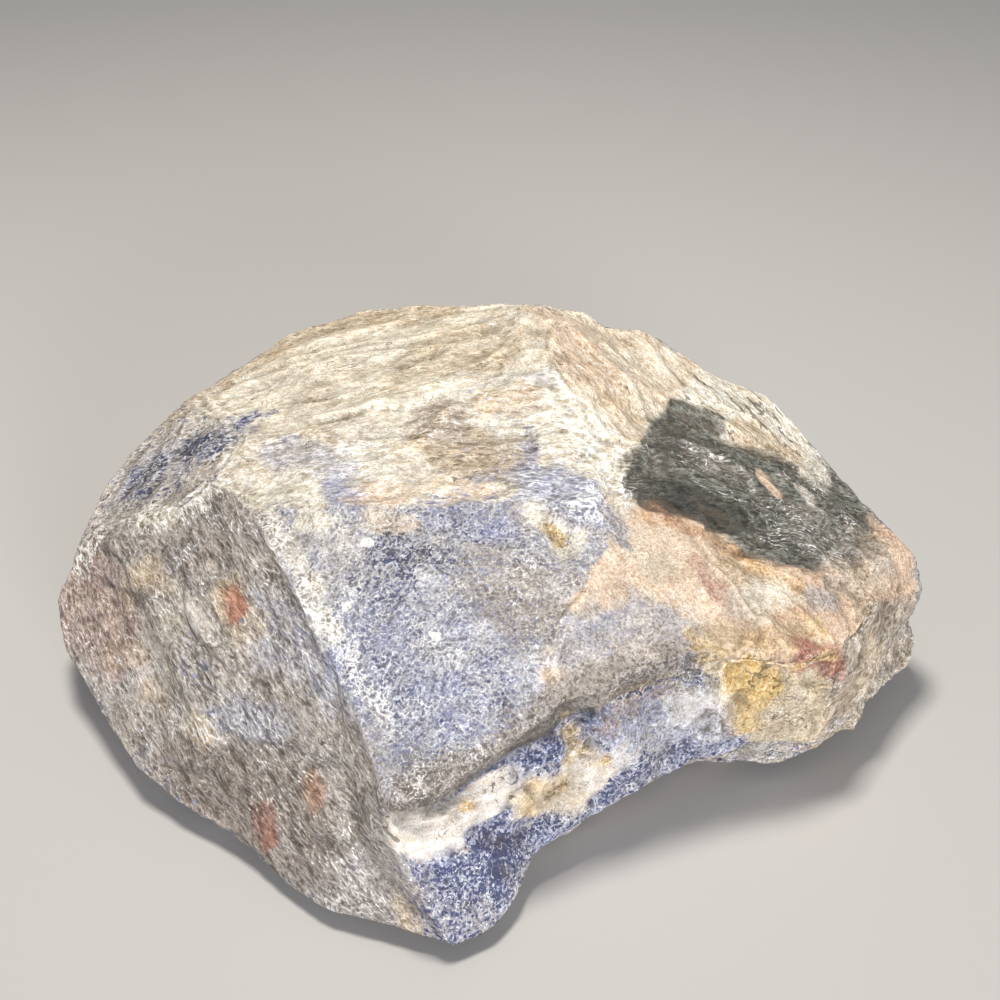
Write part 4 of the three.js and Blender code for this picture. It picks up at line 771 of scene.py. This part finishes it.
# Sodalite syenite: broken, not cut or polished, so each grain has its own small broken face.
# Grains of white feldspar, grey nepheline, lavender to deep blue sodalite and dark aegirine lie
# side by side, and tan, ochre and rust films of weathering lie over them. The eye gets speckle
# at every scale, glints from the blue grains, and dull films between them.
stoneLook = {
    # borders of the kinds of face and of the patches, and the clouds in each colour: sizes are mm
    # across, pushes and clouds are powers of e
    "kindRounds": 60, "kindPower": 4,       # blended this wide, then narrowed again
    "kindPush": 7, "steadyPush": 2.5, "kindPushSize": 12,
    "ridgeHold": 10,                        # mm from the ridge where the borders stay put
    "driftSize": 9, "raggedness": 0.9, "raggedSize": 3.4,
    "crispEdge": (1.2, 5),                  # mm of sway and steepness of the edge of a patch
    "softEdge": (3, 1.7),
    "filmClouds": 2.4, "filmCloudSize": 12,
    "grainClouds": 1.5, "grainCloudSize": 8,
    "toneClouds": 0.35, "toneCloudSize": 6,
    "leastShare": 0.003, "drawSpread": 0.11,
    "hollow": (4, 0.5),                     # rounds of averaging, mm of depth
    "dip": (60, 2.5),
    # grains, all mm across unless the name says otherwise
    "grainSize": 0.6, "speckSize": 0.3,
    "veilSize": 2.1,                        # clouds that the pale and dark grains gather in
    "veilStretch": 2.6, "veilShift": -0.8,  # spread the clouds from 0 to 1
    "fray": 1.0,                            # how far the clouds push the grains about
    "crinkleSize": 1.25,                    # between the fine broken edges
    # the crinkle is both bump and paint: its ridges are painted paler and its valleys darker, a painted
    # highlight and painted shade
    "crinkleRange": (0.08, 1.81), "crinkleShadeAndBumpShare": 0.33,
    "edgeSpeckAndHighlightShare": 0.3, "hollowSpeckAndShadeShare": 0.5,
    "firstShare": 0.66, "secondShare": 0.72, "thirdShare": 0.8,    # of grain against cloud in each draw
    "groundGrain": 0.5, "groundSpeck": 0.4, "groundRange": (0.29, 0.71),
    # thin dark lines and white veins: half widths are shares of the noise that draws them. The dark lines
    # are partly cracks and partly painted shadow under small ledges.
    "lineSpacing": 7, "shadowCrackWidth": 0.005, "veinWidth": 0.005, "lineSharp": 250, "lineCover": 0.7,
    "shadowCrackColour": "43392f", "veinColour": "f7f5f1",
    # colour of the hollows, paler edges and dust: ranges are from low and high to low and high
    "dirt": "6a5b49", "hollowColourShare": 0.6, "dipShare": 0.2, "edgePaleShare": 0.45,
    "dustSize": 0.22, "dustRange": (0.3, 0.7, 0.72, 1.27),
    # gloss, and the small breaks too fine for the mesh
    "roughRange": (0.0, 1.0, 0.45, 0.95), "roughSize": 0.6, "roughHeight": 0.42,
}


# Shares of the kinds of face for the colours. Their borders wander but are crisp: each share is
# blended wide, set to a power that narrows the border again, and pushed about by its own noise,
# though not close to the ridge.
def wanderingShares(points, quads, shares):
    look = stoneLook
    wide = average(shares, quads, rounds=look["kindRounds"])
    pushes = [look["steadyPush"] if kind in steadyKinds else look["kindPush"] for kind in kinds]
    push = np.stack([amount * lumpsAt(points / look["kindPushSize"], 200 + 5 * i, layers=4)
                     for i, amount in enumerate(pushes)], 1)
    free = 1 - np.exp(-(closestOnLine(points, corners["ridge"])[0] / look["ridgeHold"]) ** 2)
    pushed = wide ** look["kindPower"] * np.exp(push * free[:, None])
    return pushed / pushed.sum(1, keepdims=True)


# Films and grains at each point: those of its kinds of face, then each patch over them, as far as
# the point is inside it: 1/2 + steepness (1 - distance / width) + ragged noise, from 0 to 1. The
# films are gathered in clouds and share the surface between them.
def colourShares(points, faces):
    look = stoneLook
    film, grain = ({name: faces @ np.array([looks[kind].get(name, 0) for kind in kinds], float)
                    for name in names} for names in (films, shareNames))
    drift = np.stack([lumpsAt(points / look["driftSize"], seed) for seed in (81, 84, 87)], 1)
    ragged = look["raggedness"] * lumpsAt(points / look["raggedSize"], 141)
    for patch, width, line, mix in patches:
        sway, steepness = look["crispEdge" if patch in crispPatches else "softEdge"]
        distance = closestOnLine(points + sway * drift, line)[0]
        inside = np.clip(0.5 + steepness * (1 - distance / width) + ragged, 0, 1)
        bare = 1 - inside * sum(amount for name, amount in mix.items() if name in films)
        for name in films:
            film[name] = film[name] * bare + inside * mix.get(name, 0)
        for name in shareNames:
            grain[name] = grain[name] + inside * mix.get(name, 0)
    for i, name in enumerate(films):
        clouds = lumpsAt(points / look["filmCloudSize"], 151 + 5 * i, layers=4)
        film[name] = film[name] * np.exp(look["filmClouds"] * clouds)
    total = sum(film.values())
    for i, name in enumerate(shareNames):
        clouds = lumpsAt(points / look["grainCloudSize"], 301 + 5 * i)
        grain[name] = np.maximum(grain[name], 0) * np.exp(look["grainClouds"] * clouds)
    return {name: amount / total for name, amount in film.items()}, grain


# How hollow the surface is: mean of the neighbourhood less the point, along the normal.
def hollowness(points, quads, normals, rounds, depth):
    around = average(points, quads, rounds=rounds)
    return np.clip(((around - points) * normals).sum(1) / depth, -1, 1)


# Level that a random draw (mean 1/2, bell-shaped) has to stay under in a given share of places:
# 1/2 + spread * ln(share / (1 - share)).
def drawLevel(share):
    kept = np.clip(share, stoneLook["leastShare"], 1 - stoneLook["leastShare"])
    return 0.5 + stoneLook["drawSpread"] * np.log(kept / (1 - kept))


# The finished piece: its mesh in metres, and at each vertex the pale and the dark colour of its films, the
# level of each grain, how much dark line (crack and painted shadow) and vein it has, how hollow and dipped
# it is, and its grain ways.
def makeStone():
    look = stoneLook
    points, quads, triangles, shares, normals = stoneSurface()
    mesh = bpy.data.meshes.new("sodalite")
    mesh.from_pydata((fitToBox(points) * mm).tolist(), [], triangles.tolist())
    mesh.polygons.foreach_set("use_smooth", np.ones(len(triangles), bool))
    film, grain = colourShares(points, wanderingShares(points, quads, shares))
    clouds = lumpsAt(points / look["toneCloudSize"], 601, layers=4)
    tone = np.exp(look["toneClouds"] * clouds)[:, None]
    for k, shade in enumerate(("paleGround", "darkGround")):
        colour = tone * sum(film[name][:, None] * linear(films[name][k]) for name in films)
        attribute = mesh.attributes.new(shade, "FLOAT_COLOR", "POINT")
        attribute.data.foreach_set("color", colour.astype(np.float32).ravel())
    values = {name: share if name in lineNames else drawLevel(share) for name, share in grain.items()}
    for name in ("hollow", "dip"):
        values[name] = hollowness(points, quads, normals, *look[name])
    for way, members in grainWays.items():
        values[way] = shares @ np.array([float(kind in members["kinds"]) for kind in kinds])
    for name, value in values.items():
        attribute = mesh.attributes.new(name, "FLOAT", "POINT")
        attribute.data.foreach_set("value", value.astype(np.float32))
    mesh.update()
    piece = bpy.data.objects.new("rough_sodalite", mesh)
    bpy.context.scene.collection.objects.link(piece)
    return piece


# Films for a ground, then grains, thin lines, darker colour in the hollows, paler edges and dust over it,
# then gloss.
def makeStoneMaterial():
    material = bpy.data.materials.new("sodaliteSyenite")
    material.use_nodes = True
    tree = material.node_tree
    tree.nodes.clear()
    look = stoneLook
    objectPlace = addNode(tree, "TexCoord", output="Object")
    place = addNode(tree, "VectorMath", {0: objectPlace, 3: 1 / mm}, operation="SCALE")

    # grains lie along the way of their face: the place is turned and squeezed that way, and the
    # border between two ways is hard, so that no grain is smeared
    squeezed = place
    for way, members in grainWays.items():
        turned = addNode(tree, "Mapping", {
            "Vector": place, "Rotation": Vector(members["grain"]).to_track_quat("X", "Z").to_euler(),
            "Scale": (members["long"], 1, 1)}, vector_type="TEXTURE")
        share = addNode(tree, "Attribute", output="Fac", attribute_name=way)
        chosen = addNode(tree, "Math", (share, 0.5), operation="GREATER_THAN")
        squeezed = addNode(tree, "Mix", {0: chosen, 4: squeezed, 5: turned}, output=1, data_type="VECTOR")

    # three random clouds, two sizes of grain, crinkled broken edges and fine dust
    veil = addNode(tree, "TexNoise", {"Vector": squeezed, "Scale": 1 / look["veilSize"], "Detail": 5.0,
                                      "Roughness": 0.68}, output="Color")
    fray = addNode(tree, "VectorMath", (veil, (look["fray"],) * 3, squeezed), operation="MULTIPLY_ADD")
    grains = addNode(tree, "TexVoronoi", {"Vector": fray, "Scale": 1 / look["grainSize"]}, output="Color")
    specks = addNode(tree, "TexVoronoi", {"Vector": fray, "Scale": 1 / look["speckSize"]}, output="Color")
    crinkle = addNode(tree, "TexNoise", {"Vector": fray, "Scale": 1 / look["crinkleSize"], "Detail": 2.0,
                                         "Offset": 1.0, "Gain": 1.0}, noise_type="RIDGED_MULTIFRACTAL")
    dust = addNode(tree, "TexNoise", {"Vector": squeezed, "Scale": 1 / look["dustSize"], "Detail": 1.0})
    wide = addNode(tree, "VectorMath", (veil, (look["veilStretch"],) * 3, (look["veilShift"],) * 3),
                   operation="MULTIPLY_ADD")
    veils, grain, speck = ([addNode(tree, "SeparateColor", (source,), output=channel)
                            for channel in ("Red", "Green", "Blue")] for source in (wide, grains, specks))
    # the crinkle's ridges: white grains go onto them and dark flecks into the valleys between, painted
    # highlight and painted shade of the small breaks that the bump below also draws
    edge = addNode(tree, "MapRange", (crinkle, *look["crinkleRange"]))
    notEdge = addNode(tree, "Math", (1.0, edge), operation="SUBTRACT")
    edgeSpeckAndHighlight = addNode(tree, "Mix", {0: look["edgeSpeckAndHighlightShare"], 2: notEdge, 3: speck[1]})
    hollowSpeckAndShade = addNode(tree, "Mix", {0: look["hollowSpeckAndShadeShare"], 2: edge, 3: speck[0]})
    draws = {draw: addNode(tree, "Mix", {0: look[draw + "Share"], 2: cloud, 3: single})
             for draw, cloud, single in zip(("first", "second", "third"), veils,
                                            (grain[0], hollowSpeckAndShade, edgeSpeckAndHighlight))}

    # ground: the dark and the pale grains of the films that lie here, paler on the crinkle's ridges and
    # darker in its valleys, a painted highlight and painted shade of the fine relief
    shade = veils[1]
    for share, single in (("groundGrain", grain[2]), ("groundSpeck", speck[2]), ("crinkleShadeAndBumpShare", edge)):
        shade = addNode(tree, "Mix", {0: look[share], 2: shade, 3: single})
    shade = addNode(tree, "MapRange", (shade, *look["groundRange"]))
    pale = addNode(tree, "Attribute", output="Color", attribute_name="paleGround")
    dark = addNode(tree, "Attribute", output="Color", attribute_name="darkGround")
    colour = addNode(tree, "Mix", {0: shade, 6: dark, 7: pale}, output=2, data_type="RGBA")

    for name, hue, draw, sharp, cover in grainLayers:
        level = addNode(tree, "Attribute", output="Fac", attribute_name=name)
        above = addNode(tree, "Math", (level, draws[draw]), operation="SUBTRACT")
        mask = addNode(tree, "Math", (above, sharp, 0.5), operation="MULTIPLY_ADD", use_clamp=True)
        mask = addNode(tree, "Math", (mask, cover), operation="MULTIPLY")
        colour = addNode(tree, "Mix", {0: mask, 6: colour, 7: hue}, output=2, data_type="RGBA")

    # thin dark lines and white veins: where one broad noise passes its middle value, as wide as the stone
    # has them there, and broken up by the clouds. The dark lines are partly cracks and partly painted shadow
    # under small ledges.
    lines = addNode(tree, "TexNoise", {"Vector": fray, "Scale": 1 / look["lineSpacing"], "Detail": 3.0},
                    output="Color")
    for name, channel, gate in (("vein", "Green", veils[1]), ("shadowCrack", "Red", veils[0])):
        line = addNode(tree, "SeparateColor", (lines,), output=channel)
        away = addNode(tree, "Math", (line, 0.5), operation="SUBTRACT")
        away = addNode(tree, "Math", (away,), operation="ABSOLUTE")
        amount = addNode(tree, "Attribute", output="Fac", attribute_name=name + "ed")
        width = addNode(tree, "Math", (amount, 2 * look[name + "Width"]), operation="MULTIPLY")
        width = addNode(tree, "Math", (width, gate), operation="MULTIPLY")
        inside = addNode(tree, "Math", (width, away), operation="SUBTRACT")
        mask = addNode(tree, "Math", (inside, look["lineSharp"]), operation="MULTIPLY", use_clamp=True)
        mask = addNode(tree, "Math", (mask, look["lineCover"]), operation="MULTIPLY")
        colour = addNode(tree, "Mix", {0: mask, 6: colour, 7: look[name + "Colour"]}, output=2,
                         data_type="RGBA")

    # darker colour in the hollows, paler colour on the convex broken edges, and dust speckles it all
    hollow = addNode(tree, "Attribute", output="Fac", attribute_name="hollow")
    dip = addNode(tree, "Attribute", output="Fac", attribute_name="dip")
    low = addNode(tree, "Math", (dip, look["dipShare"]), operation="MULTIPLY", use_clamp=True)
    hollowColoured = addNode(tree, "Math", (hollow, look["hollowColourShare"], low), operation="MULTIPLY_ADD", use_clamp=True)
    colour = addNode(tree, "Mix", {0: hollowColoured, 6: colour, 7: look["dirt"]}, output=2, data_type="RGBA")
    edgePaled = addNode(tree, "MapRange", (hollow, -1.0, 0.0, 1 + look["edgePaleShare"], 1.0))
    colour = addNode(tree, "VectorMath", {0: colour, 3: edgePaled}, operation="SCALE")
    speckle = addNode(tree, "MapRange", (dust, *look["dustRange"]))
    colour = addNode(tree, "VectorMath", {0: colour, 3: speckle}, operation="SCALE")

    # each grain has its own gloss, from fresh feldspar that glints to dull film
    rough = addNode(tree, "MapRange", (speck[2], *look["roughRange"]))
    uneven = addNode(tree, "TexNoise", {"Vector": squeezed, "Scale": 1 / look["roughSize"], "Detail": 3.0,
                                        "Roughness": 0.7})
    uneven = addNode(tree, "Math", (crinkle, look["crinkleShadeAndBumpShare"], uneven), operation="MULTIPLY_ADD")
    bump = addNode(tree, "Bump", {"Height": uneven, "Distance": look["roughHeight"] * mm, "Strength": 1.0},
                   output="Normal")
    shader = addNode(tree, "BsdfPrincipled", {"Base Color": colour, "Roughness": rough, "Normal": bump,
                                              "IOR": 1.5})
    addNode(tree, "OutputMaterial", {"Surface": shader})
    return material


studio = {
    "floorWidth": 16, "floorColour": "c6c4c1", "floorRoughness": 0.9,
    "worldColour": "e4e6ea", "worldStrength": 0.27,
    "softboxes": [
        {"name": "key", "at": (-0.1, 0.08, 1.0), "size": 0.2, "watts": 8.2, "colour": "fffaf2"},
        {"name": "frontFill", "at": (0.4, -1.1, 0.25), "size": 0.4, "watts": 12, "colour": "f4f7ff"},
    ],
    "lightTarget": (0, 0, 0.04),
    "cameraAt": (0.004, -0.307, 0.269), "cameraTilt": 56.17, "lens": 51.95, "sensor": 36,
}


# Matt paint, rolled on: one even pale grey without a shine, so that nothing but the stone is seen.
def makeFloorMaterial():
    material = bpy.data.materials.new("paintedFloor")
    material.use_nodes = True
    shader = material.node_tree.nodes["Principled BSDF"]
    shader.inputs["Base Color"].default_value = linear(studio["floorColour"])
    shader.inputs["Roughness"].default_value = studio["floorRoughness"]
    return material


# A flat square of floor, its corners at plus and minus half its width.
def makeFloor():
    half = studio["floorWidth"] / 2
    ring = [(-half, -half, 0), (half, -half, 0), (half, half, 0), (-half, half, 0)]
    mesh = bpy.data.meshes.new("floor")
    mesh.from_pydata(ring, [], [(0, 1, 2, 3)])
    floor = bpy.data.objects.new("floor", mesh)
    bpy.context.scene.collection.objects.link(floor)
    floor.data.materials.append(makeFloorMaterial())


# Pale light from all round, a softbox above, a weak one in front, each turned to its target, and
# the camera.
def makeStudio():
    scene = bpy.context.scene
    world = bpy.data.worlds.new("studio")
    world.use_nodes = True
    background = world.node_tree.nodes["Background"]
    background.inputs["Color"].default_value = linear(studio["worldColour"])
    background.inputs["Strength"].default_value = studio["worldStrength"]
    scene.world = world
    scene.view_settings.view_transform = "Standard"
    for box in studio["softboxes"]:
        light = bpy.data.lights.new(box["name"], "AREA")
        light.size = box["size"]
        light.energy = box["watts"]
        light.color = linear(box["colour"])[:3]
        lamp = bpy.data.objects.new(box["name"], light)
        lamp.location = box["at"]
        way = Vector(studio["lightTarget"]) - Vector(box["at"])
        lamp.rotation_euler = way.to_track_quat("-Z", "Y").to_euler()
        scene.collection.objects.link(lamp)
    camera = bpy.data.cameras.new("camera")
    camera.lens = studio["lens"]
    camera.sensor_width = studio["sensor"]
    holder = bpy.data.objects.new("camera", camera)
    holder.location = studio["cameraAt"]
    holder.rotation_euler = (math.radians(studio["cameraTilt"]), 0, 0)
    scene.collection.objects.link(holder)
    scene.camera = holder


makeStudio()
makeFloor()
print("studio ready")
stonePiece = makeStone()
print("stone cast:", len(stonePiece.data.polygons), "triangles")
stonePiece.data.materials.append(makeStoneMaterial())
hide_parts("sodalite_rough")
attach(stonePiece, "root")
print("stone finished")
